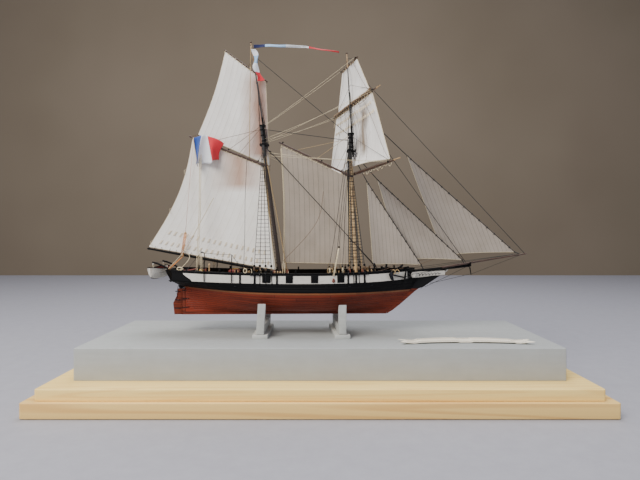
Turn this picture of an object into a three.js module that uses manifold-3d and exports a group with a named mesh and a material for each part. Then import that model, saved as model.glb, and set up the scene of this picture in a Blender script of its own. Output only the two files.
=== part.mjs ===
/**
 * Display model of a two-masted topsail schooner on a stepped wooden base.
 *
 * Units are millimetres. +X points to the bow, +Y to port and +Z up. The origin is the middle of the
 * underside of the base. Spars are tapered rods between two named points, sails and flags are thin
 * curved plates, and the hull is a stack of waterlines.
 */
import * as THREE from 'three';
import { mergeVertices } from 'three/addons/utils/BufferGeometryUtils.js';
import Module from 'manifold-3d';

const wasm = await Module();
wasm.setup();

// ---------------------------------------------------------------- driving dimensions
const GAP = 0.3;                 // clearance between pieces that touch

const BASE = { length: 570, width: 229, height: 15.1, corner: 2.5 };
const STEP = { length: 548, width: 218, height: 11.4, corner: 3 };
const PLINTH = { length: 500, width: 163, height: 33, corner: 1.5 };
const STEP_Z = BASE.height;
const PLINTH_Z = STEP_Z + STEP.height;
const PLINTH_TOP = PLINTH_Z + PLINTH.height;

const KEEL = { half: 1.3, bottom: 81.5, rabbet: 84.5 };
const DECK_Z = 119.8;            // underside of the deck amidships
const DECK_THICK = 0.8;
const RAIL_Z = 130.4;            // underside of the rail cap amidships
const WALL = 1.5;                // bulwark thickness
const BULWARK_END_X = 111;       // leaves room for the bowsprit between the bulwarks
const MIDSHIP_X = -20;
const STERN_X = -158.5;          // aft end of the hull below the counter
const STEM = { startX: 76, reach: 44, topZ: 131, power: 1.3 };

const RUDDER_X = -163.4;         // axis of the pintles
const STOCK = 2.2;               // square rudder stock
const TRUNK_RADIUS = 1.85;       // hole through counter and deck

const MAIN = { railX: -47.3, rake: 0.1294, railZ: 132, capZ: 304.7, truckZ: 401.6 };
const FORE = { railX: 42.0, rake: 0.0435, railZ: 135.7, capZ: 295.2, truckZ: 388.6 };
const MASTHEAD = 28;             // overlap of lower mast and topmast
const TOPMAST_STEP = 3.1;        // topmast heel forward of the lower mast

const BRACE = THREE.MathUtils.degToRad(16.5);   // yards: starboard ends forward
const SAIL_THICK = 0.5;

const COLOUR = {
  pine: 0xe6d3a3, greyPaint: 0xb9bdbd, whitePaint: 0xdcdcd6, paper: 0xe3dcc3, hullWood: 0x6e2a1a,
  black: 0x17181a, deckWood: 0xb58d58, darkWood: 0x33211a, lightWood: 0xb09066, iron: 0x1d1e20,
  redPaint: 0x5c1f1a, rope: 0x2a2522, linen: 0xb9afa0, canvas: 0xcfccc6, flagRed: 0xc22836,
  flagWhite: 0xdfe3ea, flagBlue: 0x2d52a8,
};

// ---------------------------------------------------------------- building blocks
const ship = new THREE.Group();

function addMesh(name, geometry, colour, roughness = 0.7, metalness = 0) {
  const material = new THREE.MeshStandardMaterial({ color: COLOUR[colour], roughness, metalness });
  const mesh = new THREE.Mesh(geometry, material);
  mesh.name = name;
  ship.add(mesh);
  return mesh;
}

/**
 * Skin a row of rings, each an even number of points, into one closed body. Point k of a ring is
 * paired with point (count - 1 - k), and the two end rings are capped by strips between the pairs.
 */
function loft(rings) {
  const count = rings[0].length;
  const triangles = [];
  const quad = (a, b, c, d) => triangles.push(a, b, c, a, c, d);
  for (let i = 0; i + 1 < rings.length; i++) {
    for (let k = 0; k < count; k++) {
      const next = (k + 1) % count;
      quad(i * count + k, i * count + next, (i + 1) * count + next, (i + 1) * count + k);
    }
  }
  const last = (rings.length - 1) * count;
  for (let k = 0; k + 1 < count / 2; k++) {
    const [a, b, c, d] = [k, k + 1, count - 2 - k, count - 1 - k];
    quad(d, c, b, a);
    quad(last + a, last + b, last + c, last + d);
  }
  const points = rings.flat().map((p) => (p.isVector3 ? p : new THREE.Vector3(...p)));
  let volume = 0;
  for (let t = 0; t < triangles.length; t += 3) {
    const [a, b, c] = [0, 1, 2].map((n) => points[triangles[t + n]]);
    volume += a.dot(new THREE.Vector3().crossVectors(b, c));
  }
  if (volume < 0) triangles.reverse();
  const geometry = new THREE.BufferGeometry().setFromPoints(points);
  geometry.setIndex(triangles);
  geometry.computeVertexNormals();
  return geometry;
}

/** A row of count + 1 numbers from 0 to 1. */
const steps = (count) => Array.from({ length: count + 1 }, (_, i) => i / count);

/** A round rod along a list of points, with a radius at each. */
function rod(points, radii, sides = 8) {
  const places = points.map((p) => new THREE.Vector3(...p));
  const rings = places.map((place, i) => {
    const before = places[Math.max(i - 1, 0)];
    const after = places[Math.min(i + 1, places.length - 1)];
    const along = after.clone().sub(before).normalize();
    const across = new THREE.Vector3(0, 1, 0).cross(along);
    if (across.length() < 0.5) across.set(1, 0, 0).cross(along);
    across.normalize();
    const up = along.clone().cross(across);
    return steps(sides).slice(0, sides).map((s) => {
      const angle = 2 * Math.PI * (s + 0.5 / sides);
      return place.clone()
        .addScaledVector(across, radii[i] * Math.cos(angle))
        .addScaledVector(up, radii[i] * Math.sin(angle));
    });
  });
  return loft(rings);
}

/** A spar that is thickest a third of the way along. */
function spar(name, from, to, thick, thin, colour) {
  const third = from.map((value, i) => value + (to[i] - value) / 3);
  return addMesh(name, rod([from, third, to], [(thick + thin) / 2, thick, thin]), colour);
}

/** A flat outline in the X-Z plane, given a thickness about Y = 0. */
function profile(points, thickness) {
  const shape = new THREE.Shape(points.map(([x, z]) => new THREE.Vector2(x, z)));
  const geometry = new THREE.ExtrudeGeometry(shape, { depth: thickness, bevelEnabled: false });
  geometry.rotateX(Math.PI / 2);
  geometry.translate(0, thickness / 2, 0);
  return geometry;
}

/** A slab with rounded corners, standing on height z. */
function slab(name, { length, width, height, corner }, z, colour) {
  const [x, y] = [length / 2 - corner, width / 2 - corner];
  const shape = new THREE.Shape();
  shape.absarc(x, y, corner, 0, Math.PI / 2);
  shape.absarc(-x, y, corner, Math.PI / 2, Math.PI);
  shape.absarc(-x, -y, corner, Math.PI, 1.5 * Math.PI);
  shape.absarc(x, -y, corner, 1.5 * Math.PI, 2 * Math.PI);
  const geometry = new THREE.ExtrudeGeometry(shape, { depth: height, bevelEnabled: false, curveSegments: 4 });
  addMesh(name, geometry, colour).position.z = z;
}

/** Cut a solid away from a geometry. */
function cut(geometry, tool) {
  const solids = [geometry, tool].map((part) => {
    const bare = part.clone();
    bare.deleteAttribute('normal');
    bare.deleteAttribute('uv');
    const merged = mergeVertices(bare, 1e-4);
    return new wasm.Manifold(new wasm.Mesh({
      numProp: 3,
      vertProperties: merged.attributes.position.array,
      triVerts: Uint32Array.from(merged.index.array),
    }));
  });
  const mesh = solids[0].subtract(solids[1]).getMesh();
  const result = new THREE.BufferGeometry();
  result.setAttribute('position', new THREE.BufferAttribute(mesh.vertProperties, 3));
  result.setIndex(new THREE.BufferAttribute(mesh.triVerts, 1));
  result.computeVertexNormals();
  return result;
}

// ---------------------------------------------------------------- hull lines
const SHEER = { foreRise: 4.2, foreLength: 130, aftRise: 3.6, aftLength: 150 };
const sheer = (x) => (x > MIDSHIP_X
  ? SHEER.foreRise * ((x - MIDSHIP_X) / SHEER.foreLength) ** 2
  : SHEER.aftRise * ((MIDSHIP_X - x) / SHEER.aftLength) ** 2);

const stemX = (z) => {
  const drop = Math.min(Math.max((STEM.topZ - z) / (STEM.topZ - KEEL.rabbet), 0), 1);
  return STEM.startX + STEM.reach * (1 - drop ** STEM.power) ** (1 / STEM.power);
};

/**
 * Waterlines from the keel up to the deck: height, greatest half-breadth, the aft end and its
 * half-breadth, and how full (power) and how hollow (bow, run) its two ends are.
 */
const WATERLINES = [
  { z: KEEL.rabbet, beam: 1.3, aftX: STERN_X, aftY: 1.3, run: 1, bow: 1, power: 2 },
  { z: 87, beam: 15, aftX: STERN_X, aftY: 1.3, run: 2.4, bow: 2.4, power: 2 },
  { z: 91, beam: 24.5, aftX: STERN_X, aftY: 1.3, run: 2.0, bow: 1.9, power: 2 },
  { z: 96, beam: 31, aftX: STERN_X, aftY: 1.3, run: 1.7, bow: 1.55, power: 2.1 },
  { z: 102, beam: 35, aftX: STERN_X, aftY: 1.3, run: 1.4, bow: 1.3, power: 2.2 },
  { z: 107, beam: 36.6, aftX: STERN_X, aftY: 1.3, run: 1.15, bow: 1.1, power: 2.4 },
  { z: 111.5, beam: 37, aftX: STERN_X, aftY: 1.3, run: 0.95, bow: 1.0, power: 2.5 },
  { z: 116, beam: 37, aftX: -167.5, aftY: 16, run: 0.9, bow: 0.95, power: 2.7 },
  { z: DECK_Z, beam: 36.8, aftX: -170.5, aftY: 25, run: 0.9, bow: 0.9, power: 2.8 },
];
const DECK_LINE = WATERLINES.at(-1);

function halfBreadth(line, x) {
  const foreX = stemX(line.z);
  const forward = x > MIDSHIP_X;
  const end = forward ? foreX : line.aftX;
  const endY = forward ? KEEL.half : line.aftY;
  const along = Math.min((x - MIDSHIP_X) / (end - MIDSHIP_X), 1);
  return endY + (line.beam - endY) * (1 - along ** line.power) ** (forward ? line.bow : line.run);
}
const deckY = (x) => halfBreadth(DECK_LINE, x);
const deckTop = (x) => DECK_Z + GAP + DECK_THICK + sheer(x);

/** The sheer fades out towards the keel. */
const riseAt = (x, z) => sheer(x) * ((z - KEEL.rabbet) / (DECK_Z - KEEL.rabbet)) ** 2;

/** Stations closer together towards both ends. */
const spaced = (s) => 0.55 * s + 0.45 * (0.5 - 0.5 * Math.cos(Math.PI * s));

function hullGeometry(stations) {
  const rings = steps(stations).map((s) => {
    const side = WATERLINES.map((line) => {
      const x = THREE.MathUtils.lerp(line.aftX, stemX(line.z), spaced(s));
      return [x, halfBreadth(line, x), line.z + riseAt(x, line.z)];
    });
    const starboard = side.map(([x, y, z]) => [x, -y, z]);
    return [...starboard, ...side.reverse()];
  });
  return loft(rings);
}

/** A strip that follows the deck edge; section(x) gives pairs of (half-breadth, height). */
function edgeStrip(fromX, toX, count, section) {
  return loft(steps(count).map((s) => {
    const x = THREE.MathUtils.lerp(fromX, toX, spaced(s));
    return section(x).map(([y, z]) => [x, y, z + sheer(x)]);
  }));
}
const mirrorY = (geometry) => {
  const other = geometry.clone();
  other.scale(1, -1, 1);
  const index = other.index.array;
  for (let i = 0; i < index.length; i += 3) [index[i], index[i + 1]] = [index[i + 1], index[i]];
  other.computeVertexNormals();
  return other;
};
function addPair(name, portGeometry, colour, roughness) {
  addMesh(`${name}_port`, portGeometry, colour, roughness);
  addMesh(`${name}_starboard`, mirrorY(portGeometry), colour, roughness);
}

// ---------------------------------------------------------------- display base
function addBase() {
  slab('base_board', BASE, 0, 'pine');
  slab('base_step', STEP, STEP_Z, 'pine');
  slab('plinth', PLINTH, PLINTH_Z, 'greyPaint');

  // The ribbon bows away from the front edge of the plinth and has a forked end each side.
  const [length, width, notch, bow, steps] = [141, 14, 6, 8, 12];
  const edge = (side) => Array.from({ length: steps + 1 }, (_, k) => {
    const share = (2 * k) / steps - 1;
    return [(share * length) / 2, (side * width) / 2 + bow * (1 - share * share)];
  });
  const outline = new THREE.Shape([
    ...edge(-1), [length / 2 - notch, 1], ...edge(1).reverse(), [-length / 2 + notch, 1],
  ].map(([x, y]) => new THREE.Vector2(x, y)));
  const ribbon = new THREE.ExtrudeGeometry(outline, { depth: 0.8, bevelEnabled: false });
  addMesh('name_ribbon', ribbon, 'paper').position.set(154.5, -59, PLINTH_TOP);
}

/** A cradle: a low foot on the plinth and a U-shaped frame whose horns stop just under the bilge. */
function addCradle(name, x, lean, turn, outerTop) {
  const foot = { length: 17, width: 75, height: 4.5 };
  const frame = { thick: 8.5, half: 36.5, horn: 6, web: 9 };
  const bottom = PLINTH_TOP + foot.height + GAP;
  const [inner, outer] = [frame.half - frame.horn, frame.half];
  const [innerTop, webTop] = [outerTop - 5, bottom + frame.web];
  const shape = new THREE.Shape([
    [-outer, bottom], [outer, bottom], [outer, outerTop], [inner, innerTop], [inner - 2, webTop],
    [-inner + 2, webTop], [-inner, innerTop], [-outer, outerTop],
  ].map(([y, z]) => new THREE.Vector2(y, z)));
  const geometry = new THREE.ExtrudeGeometry(shape, { depth: frame.thick, bevelEnabled: false });
  geometry.translate(0, -bottom, -frame.thick / 2);
  geometry.applyMatrix4(new THREE.Matrix4().makeBasis(
    new THREE.Vector3(0, 1, 0), new THREE.Vector3(lean, 0, 1), new THREE.Vector3(1, 0, 0),
  ));
  const upright = addMesh(`${name}_frame`, geometry, 'whitePaint');
  upright.position.set(x, 0, bottom);
  upright.rotation.z = turn;

  const block = new THREE.BoxGeometry(foot.length, foot.width, foot.height);
  const base = addMesh(`${name}_foot`, block, 'whitePaint');
  base.position.set(x, 0, PLINTH_TOP + foot.height / 2);
  base.rotation.z = turn;
}

// ---------------------------------------------------------------- hull
function addHull() {
  const trunk = new THREE.CylinderGeometry(TRUNK_RADIUS, TRUNK_RADIUS, 40, 12);
  trunk.rotateX(Math.PI / 2);
  trunk.translate(RUDDER_X, 0, DECK_Z);
  addMesh('hull', cut(hullGeometry(24), trunk), 'hullWood', 0.5);

  const planks = edgeStrip(-167.4, 112, 16, (x) => {
    const y = Math.max(deckY(x) - WALL - 2 * GAP, 1);
    const [low, high] = [DECK_Z + GAP, DECK_Z + GAP + DECK_THICK];
    return [[-y, low], [-y, high], [y, high], [y, low]];
  });
  addMesh('deck', cut(planks, trunk), 'deckWood');

  const postX = STERN_X - GAP;
  const keelTop = KEEL.rabbet - GAP;
  const keel = profile([
    [postX - 3, KEEL.bottom - 0.5], [78.5, KEEL.bottom + 0.6], [78.5, keelTop], [postX, keelTop],
    [postX, 112], [postX - 3, 112],
  ], 2 * KEEL.half);
  addMesh('keel', keel, 'hullWood', 0.5);

  const rabbet = WATERLINES.map(({ z }) => [stemX(z) + GAP, z + riseAt(stemX(z), z)]).reverse();
  const stem = profile([
    [78.9, keelTop], [78.9, KEEL.bottom + 0.6], [85.5, 86.2], [94.5, 93.2], [103, 100.5], [112, 108.6],
    [116.5, 111.8], [122.5, 114], [131, 119.5], [147, 130.4], [147.5, 132.4], [134, 131],
    [118.8, 129.6], ...rabbet.slice(0, -1), [78.9, KEEL.rabbet + 0.4],
  ], 2 * KEEL.half);
  addMesh('stem', stem, 'darkWood', 0.5);
}

function addBulwarks() {
  const tumble = 0.5;
  const side = edgeStrip(-167.5, BULWARK_END_X, 20, (x) => {
    const y = deckY(x);
    const low = DECK_Z + GAP;
    return [[y, low], [y - tumble, RAIL_Z], [y - tumble - WALL, RAIL_Z], [y - WALL, low]];
  });
  addPair('bulwark', side, 'whitePaint');

  const cap = edgeStrip(-169, BULWARK_END_X, 20, (x) => {
    const y = deckY(x);
    const [low, high] = [RAIL_Z + GAP, RAIL_Z + GAP + 1.2];
    return [[y + 0.5, low], [y + 0.5, high], [y - WALL - 1.6, high], [y - WALL - 1.6, low]];
  });
  addPair('rail', cap, 'black', 0.5);

  const [lowY, highY, thick, bulge] = [24.5, 26.5, 1.5, 1.8];
  const [low, high] = [[-171.2, DECK_Z + 4], [-176, DECK_Z + 14.2]];
  const transom = loft(steps(6).map((s) => {
    const across = 2 * s - 1;
    const hollow = bulge * across ** 2;
    return [
      [low[0] + hollow, across * lowY, low[1]], [high[0] + hollow, across * highY, high[1]],
      [high[0] + hollow + thick, across * highY, high[1]], [low[0] + hollow + thick, across * lowY, low[1]],
    ];
  }));
  addMesh('transom', transom, 'black', 0.5);

  // carved boards from the bow planking out to the beak
  const cheek = loft(steps(8).map((s) => {
    const x = THREE.MathUtils.lerp(107, 147, s);
    const y = Math.max(deckY(Math.min(x, stemX(DECK_Z) - 0.2)) + 0.8, KEEL.half + GAP);
    const middle = THREE.MathUtils.lerp(127.8, 130.4, s);
    const half = THREE.MathUtils.lerp(3.9, 2.4, s);
    return [[x, y, middle - half], [x, y, middle + half], [x, y + 1, middle + half], [x, y + 1, middle - half]];
  }));
  addPair('head_board', cheek, 'whitePaint');
}

function addRudder() {
  const [fore, stock] = [RUDDER_X + GAP, STOCK / 2];
  const blade = profile([
    [fore, 81.2], [fore, 111.4], [RUDDER_X + stock, 111.4], [RUDDER_X + stock, 134], [RUDDER_X - stock, 134],
    [RUDDER_X - stock, 112.4], [-167.6, 111.4], [-168.6, 104], [-173.2, 94.5], [-171.8, 81.2],
  ], STOCK);
  addMesh('rudder', blade, 'hullWood', 0.5);
  const fromX = RUDDER_X + stock + GAP;
  addMesh('tiller', rod([[fromX, 0, 132.6], [-155, 0, 133.2], [-146, 0, 135]], [0.9, 0.8, 0.6], 6), 'redPaint');
}

function addDeckHouses() {
  const box = (name, x, halfX, halfY, height, topHalfY, colour) => {
    const z = deckTop(x) + GAP;
    const section = (at) => [[at, -halfY, z], [at, -topHalfY, z + height], [at, topHalfY, z + height], [at, halfY, z]];
    addMesh(name, loft([section(x - halfX), section(x + halfX)]), colour, 0.5);
  };
  box('companion', -101, 6, 6.5, 11.6, 5.5, 'redPaint');
  box('binnacle', -137, 3, 3, 11.5, 2.2, 'darkWood');
  box('main_hatch', -4, 9, 8, 3, 8, 'darkWood');
}

// ---------------------------------------------------------------- masts and fixed spars
const mastX = (mast, z) => mast.railX - mast.rake * (z - mast.railZ);

function addMast(name, mast, footR, capR, truckR) {
  const at = (z, forward = 0) => [mastX(mast, z) + forward, 0, z];
  const footZ = deckTop(mast.railX) + GAP;
  addMesh(`${name}_lower_mast`, rod([at(footZ), at(mast.capZ)], [footR, capR]), 'darkWood', 0.5);
  const heelZ = mast.capZ - MASTHEAD;
  const topmast = rod([at(heelZ, TOPMAST_STEP), at(mast.capZ, TOPMAST_STEP), at(mast.truckZ, 0.6)],
    [1.15, 1.15, truckR]);
  addMesh(`${name}_topmast`, topmast, 'lightWood', 0.5);
}

/** The crosstrees stand round both masts, so they are cut with room for them. */
function addTop(name, mast, z, halfX, halfY) {
  const board = new THREE.BoxGeometry(2 * halfX, 2 * halfY, 2);
  const x = mastX(mast, z);
  board.translate(x + 0.8, 0, z);
  const hole = new THREE.BoxGeometry(7.2, 4.4, 10);
  hole.translate(x + 1.4, 0, z);
  addMesh(name, cut(board, hole), 'black', 0.5);
}

const BOWSPRIT = { slope: 0.1105, x: 122.8, z: 132.8 };
const bowspritZ = (x) => BOWSPRIT.z + BOWSPRIT.slope * (x - BOWSPRIT.x);

function addHeadSpars() {
  const at = (x) => [x, 0, bowspritZ(x)];
  addMesh('bowsprit', rod([at(97), at(124), at(178)], [2.1, 2.1, 1.6]), 'black', 0.5);
  addMesh('jib_boom', rod([[143, -3.9, 136.6], [180, -3.2, 142.6], [243.4, -1, 152.8]], [1.2, 1.3, 0.7]), 'darkWood', 0.5);
  addMesh('dolphin_striker', rod([[177, 0, 136.6], [178.5, 0, 127.8]], [0.8, 0.5], 6), 'black', 0.5);
}

/** Shrouds with their ratlines, as one thin triangular panel a side, from the channel up. */
function addShrouds(name, mast, afterX, foremostX, topZ) {
  const bottomZ = 133.8;
  const topX = mastX(mast, topZ);
  const panel = loft([0, 1].map((s) => {
    const z = THREE.MathUtils.lerp(bottomZ, topZ, s);
    const y = THREE.MathUtils.lerp(38.2, 9.5, s);
    const [aft, fore] = [THREE.MathUtils.lerp(afterX, topX - 2.5, s), THREE.MathUtils.lerp(foremostX, topX + 0.5, s)];
    return [[aft, y, z], [fore, y, z], [fore, y + 0.6, z], [aft, y + 0.6, z]];
  }));
  addPair(name, panel, 'rope');
}

// ---------------------------------------------------------------- sails
/**
 * A sail between its four corners. Across runs from luff to leech and up from foot to head. The belly
 * fills along a direction, and the hollows draw the leech and the foot in.
 */
function sailGeometry({ tack, clew, throat, peak }, { belly, blow, leech = 0, foot = 0, columns = 6, rows = 6 }) {
  const corner = (p) => new THREE.Vector3(...p);
  const [a, b, c, d] = [tack, clew, throat, peak].map(corner);
  const away = corner(blow).normalize();
  const at = (across, up) => {
    const low = a.clone().lerp(b, across);
    const high = c.clone().lerp(d, across);
    const place = low.lerp(high, up);
    place.addScaledVector(away, belly * Math.sin(Math.PI * across) * Math.sin(Math.PI * up));
    place.addScaledVector(c.clone().sub(d).setZ(0).normalize(), leech * across * Math.sin(Math.PI * up));
    place.z += foot * Math.sin(Math.PI * across) * (1 - up);
    return place;
  };
  return loft(steps(rows).map((up) => {
    const front = steps(columns).map((across) => at(across, up).addScaledVector(away, -SAIL_THICK / 2));
    const back = front.map((p) => p.clone().addScaledVector(away, SAIL_THICK)).reverse();
    return [...front, ...back];
  }));
}
const PORT = [0, 1, 0];

function addHeadSails() {
  const headSail = (name, tack, clew, head, belly) => {
    const throat = [head[0] + 0.6, head[1], head[2]];
    const peak = [head[0] - 1.6, head[1], head[2]];
    addMesh(name, sailGeometry({ tack, clew, throat, peak }, { belly, blow: PORT, foot: 1 }), 'linen', 0.9);
  };
  headSail('fore_staysail', [119.4, 0.6, 139.6], [62.9, 3, 139.8], [56.3, 0.6, 236.8], 1.5);
  headSail('jib', [167.6, -1, 145.4], [97, 11, 146], [69, 0.8, 239.2], 3);
  headSail('outer_jib', [229.4, -1.2, 154.6], [148, 10, 151], [104.2, 0.6, 267.6], 4);
}

function addForeSail() {
  spar('fore_gaff', [34.4, 0, 245.2], [-48.7, 0, 284.4], 1.2, 0.8, 'darkWood');
  addMesh('foresail', sailGeometry({
    tack: [34.3, 1.2, 140.6], clew: [-42.1, 1.2, 142.3], throat: [31.8, 0.6, 243.6], peak: [-45.4, 0.6, 279.8],
  }, { belly: 3, blow: PORT, leech: 2 }), 'linen', 0.9);
}

function addMainSails() {
  spar('main_boom', [-50.3, 0, 130.6], [-204, 0, 158.8], 1.6, 1, 'black');
  spar('main_gaff', [-66, 0, 257.3], [-154.8, 0, 291.6], 1.3, 0.8, 'darkWood');
  addMesh('mainsail', sailGeometry({
    tack: [-52.6, 0, 133.6], clew: [-202, 0, 160.8], throat: [-67.6, 0, 255.4], peak: [-150.5, 0, 287.8],
  }, { belly: 4, blow: PORT, leech: 9.5, columns: 8, rows: 7 }), 'canvas', 0.9);
  spar('topsail_spar', [-62.5, 6, 357.2], [-114.5, 5.4, 395.8], 0.9, 0.6, 'darkWood');
  addMesh('gaff_topsail', sailGeometry({
    tack: [-60.3, 6.4, 257.6], clew: [-144.6, 3.2, 293.9], throat: [-64.8, 6, 357.4], peak: [-113, 5.4, 393.2],
  }, { belly: 1.5, blow: PORT, leech: 3 }), 'canvas', 0.9);
}

/** A yard crosses ahead of the mast; along runs to port from its middle. */
const yardPoint = (middleX, z, along, forward = 0) => [
  middleX + forward * Math.cos(BRACE) - along * Math.sin(BRACE),
  along * Math.cos(BRACE) + forward * Math.sin(BRACE), z,
];

function addYards() {
  const yard = (name, middleX, z, half, thick, thin) => {
    const points = [-half, -half / 2, half / 2, half].map((along) => yardPoint(middleX, z, along));
    addMesh(name, rod(points, [thin, thick, thick, thin]), 'darkWood', 0.5);
  };
  yard('fore_yard', 41.3, 246.8, 105, 1.5, 0.8);
  yard('topsail_yard', 38.4, 327.7, 69, 1.2, 0.6);
  yard('topgallant_yard', 34.8, 375.4, 27.5, 0.8, 0.5);

  const ahead = [Math.cos(BRACE), Math.sin(BRACE), 0];
  addMesh('fore_topsail', sailGeometry({
    tack: yardPoint(41.3, 249.2, -98), clew: yardPoint(41.3, 249.2, 98),
    throat: yardPoint(38.6, 325.9, -60), peak: yardPoint(38.6, 325.9, 60),
  }, { belly: 6, blow: ahead, foot: 7, columns: 8 }), 'canvas', 0.9);
  addMesh('topgallant_sail', sailGeometry({
    tack: yardPoint(38.6, 329.6, -54), clew: yardPoint(38.6, 329.6, 54),
    throat: yardPoint(34.8, 374, -25), peak: yardPoint(34.8, 374, 25),
  }, { belly: 3, blow: ahead, foot: 3, columns: 8 }), 'canvas', 0.9);
}

// ---------------------------------------------------------------- flags
/** A strip of bunting along a line of points, hanging below it. */
function bunting(name, points, drop, colour) {
  addMesh(name, loft(points.map(([x, y, z], i) => {
    const height = THREE.MathUtils.lerp(drop[0], drop[1], i / (points.length - 1));
    return [[x, y - 0.2, z], [x, y - 0.2, z - height], [x, y + 0.2, z - height], [x, y + 0.2, z]];
  })), colour, 0.9);
}

function addFlags() {
  bunting('ensign', steps(8).map((s) => [-149.6 + 33 * s, -6.5 - 1.6 * Math.sin(2 * Math.PI * s), 286.5 - 3 * s]),
    [32, 28], 'flagBlue');
  bunting('pennant', steps(12).map((s) => [-78.5 + 101 * s, -0.6 * Math.sin(4 * Math.PI * s), 400.5 - 8 * s + 3 * Math.sin(Math.PI * s)]),
    [3.6, 1.2], 'flagWhite');
  addMesh('streamer', loft(steps(8).map((s) => {
    const [x, z, half] = [-78.5 + 8 * s, 393 - 37 * s, 2.6];
    const y = -3.4 - 0.5 * Math.sin(2 * Math.PI * s);
    return [[x - half, y - 0.2, z], [x + half, y - 0.2, z], [x + half, y + 0.2, z], [x - half, y + 0.2, z]];
  })), 'flagRed', 0.9);
}

// ---------------------------------------------------------------- boat, davits, anchors
function addBoat() {
  const [x, lengthHalf, beamHalf, gunwale, keel, wall] = [-190, 28, 10, 135.6, 124.4, 1];
  const shell = (half, depth, up) => steps(6).map((s) => {
    const angle = Math.PI * s;
    return [x - half * Math.cos(angle), up - depth * Math.sin(angle) ** 0.8];
  });
  addMesh('ship_boat', loft(steps(10).map((s) => {
    const along = 2 * s - 1;
    const full = Math.max(1 - Math.abs(along) ** 2.4, 0.12);
    const rise = 2 * along ** 2;
    const depth = (gunwale - keel) * (0.55 + 0.45 * full);
    const outer = shell(beamHalf * full, depth, gunwale + rise);
    const inner = shell(Math.max(beamHalf * full - wall, 0.3), Math.max(depth - wall * 1.6, 0.6), gunwale + rise).reverse();
    return [...outer, ...inner].map(([px, pz]) => [px, along * lengthHalf, pz]);
  })), 'whitePaint');

  const davit = (side) => rod([
    [-174.4, side * 18, 135.4], [-179, side * 18, 138.4], [-184, side * 18, 140.6], [-192, side * 18, 142.4],
  ], [1, 1, 0.9, 0.8], 6);
  addMesh('stern_davit_port', davit(1), 'black', 0.5);
  addMesh('stern_davit_starboard', davit(-1), 'black', 0.5);
}

/** An anchor lies along each bow, its arms aft and its shank sloping down to the cathead. */
function addAnchors() {
  const shape = new THREE.Shape([
    [12, -0.8], [12, 0.8], [-6.5, 0.8], [-3, 7], [-8, 5.4], [-11, 1.2], [-11.6, 0], [-11, -1.2], [-8, -5.4],
    [-3, -7], [-6.5, -0.8],
  ].map(([x, y]) => new THREE.Vector2(x, y)));
  const [x, z, thick, tilt] = [88, 128, 1.4, 0.2];
  const yaw = Math.atan2(deckY(x + 6) - deckY(x - 6), 12);
  for (const [name, side] of [['anchor_port', 1], ['anchor_starboard', -1]]) {
    const iron = new THREE.ExtrudeGeometry(shape, { depth: thick, bevelEnabled: false });
    iron.translate(0, 0, -thick / 2);
    iron.rotateX(Math.PI / 2);
    iron.rotateY(tilt);
    const anchor = addMesh(name, iron, 'iron', 0.5, 0.6);
    anchor.rotation.z = side * yaw;
    anchor.position.set(x, side * (deckY(x) + 2.6), z);
  }
}

// ---------------------------------------------------------------- assembly
addBase();
addCradle('cradle_aft', -66.5, 0.06, 0, 98.4);
addCradle('cradle_fore', 22.5, 0, THREE.MathUtils.degToRad(4), 97.2);
addHull();
addBulwarks();
addRudder();
addDeckHouses();
addMast('main', MAIN, 2.3, 1.5, 0.6);
addTop('main_top', MAIN, 280.7, 5.5, 4.2);
addMast('fore', FORE, 2.2, 1.5, 0.6);
addTop('fore_top', FORE, 273.5, 5.5, 7);
addHeadSpars();
addShrouds('main_shrouds', MAIN, -74, -53.5, 246);
addShrouds('fore_shrouds', FORE, 31.7, 50.3, 238);
addHeadSails();
addForeSail();
addMainSails();
addYards();
addFlags();
addBoat();
addAnchors();

export default ship;
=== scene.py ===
"""A two-masted topsail schooner, a display model on a stepped wooden base.

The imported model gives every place: spars run between the ends of their nodes, sails hang between the
corners of theirs and the planking is laid over the hull's own surface. Lengths are metres, +X is the bow,
+Y port and +Z up. The order is camera, shared shop tools, finishes, then the ship from the keel up.
"""
import math

import bpy
import bmesh
from mathutils import Matrix, Vector, noise
from mathutils.bvhtree import BVHTree


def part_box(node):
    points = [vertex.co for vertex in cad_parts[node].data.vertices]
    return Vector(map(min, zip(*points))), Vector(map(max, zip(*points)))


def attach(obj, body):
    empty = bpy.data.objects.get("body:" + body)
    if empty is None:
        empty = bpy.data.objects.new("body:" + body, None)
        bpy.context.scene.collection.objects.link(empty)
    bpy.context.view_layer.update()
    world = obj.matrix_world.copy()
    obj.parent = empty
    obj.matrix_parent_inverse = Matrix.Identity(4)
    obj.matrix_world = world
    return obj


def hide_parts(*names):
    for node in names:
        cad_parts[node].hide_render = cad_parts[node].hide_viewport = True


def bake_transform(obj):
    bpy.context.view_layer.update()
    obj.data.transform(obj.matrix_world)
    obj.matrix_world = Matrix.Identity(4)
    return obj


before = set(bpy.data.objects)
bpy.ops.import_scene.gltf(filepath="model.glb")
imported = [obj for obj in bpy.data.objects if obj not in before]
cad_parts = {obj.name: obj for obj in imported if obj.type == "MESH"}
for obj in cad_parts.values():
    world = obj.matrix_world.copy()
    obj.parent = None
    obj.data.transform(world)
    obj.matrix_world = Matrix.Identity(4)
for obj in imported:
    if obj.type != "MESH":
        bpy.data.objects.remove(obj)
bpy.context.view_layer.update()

MM = 0.001
FULL_TURN = 6.3                                 # radians, near enough for the lift of one turn of rope
RUDDER_AXIS = -163.4 * MM
STARBOARD, PORT = -1, 1
X, Y, Z = Vector((1, 0, 0)), Vector((0, 1, 0)), Vector((0, 0, 1))
SIDE_NAMES = {STARBOARD: "starboard", PORT: "port"}


def vec(x, y, z):
    """A point or length given in millimetres."""
    return Vector((x, y, z)) * MM


def stretch(start, end, count):
    """Evenly spaced numbers from start to end."""
    return [start + (end - start) * k / count for k in range(count + 1)]


def stretch_points(a, b, count):
    """Evenly spaced points from a to b."""
    return [a.lerp(b, k / count) for k in range(count + 1)]


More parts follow.
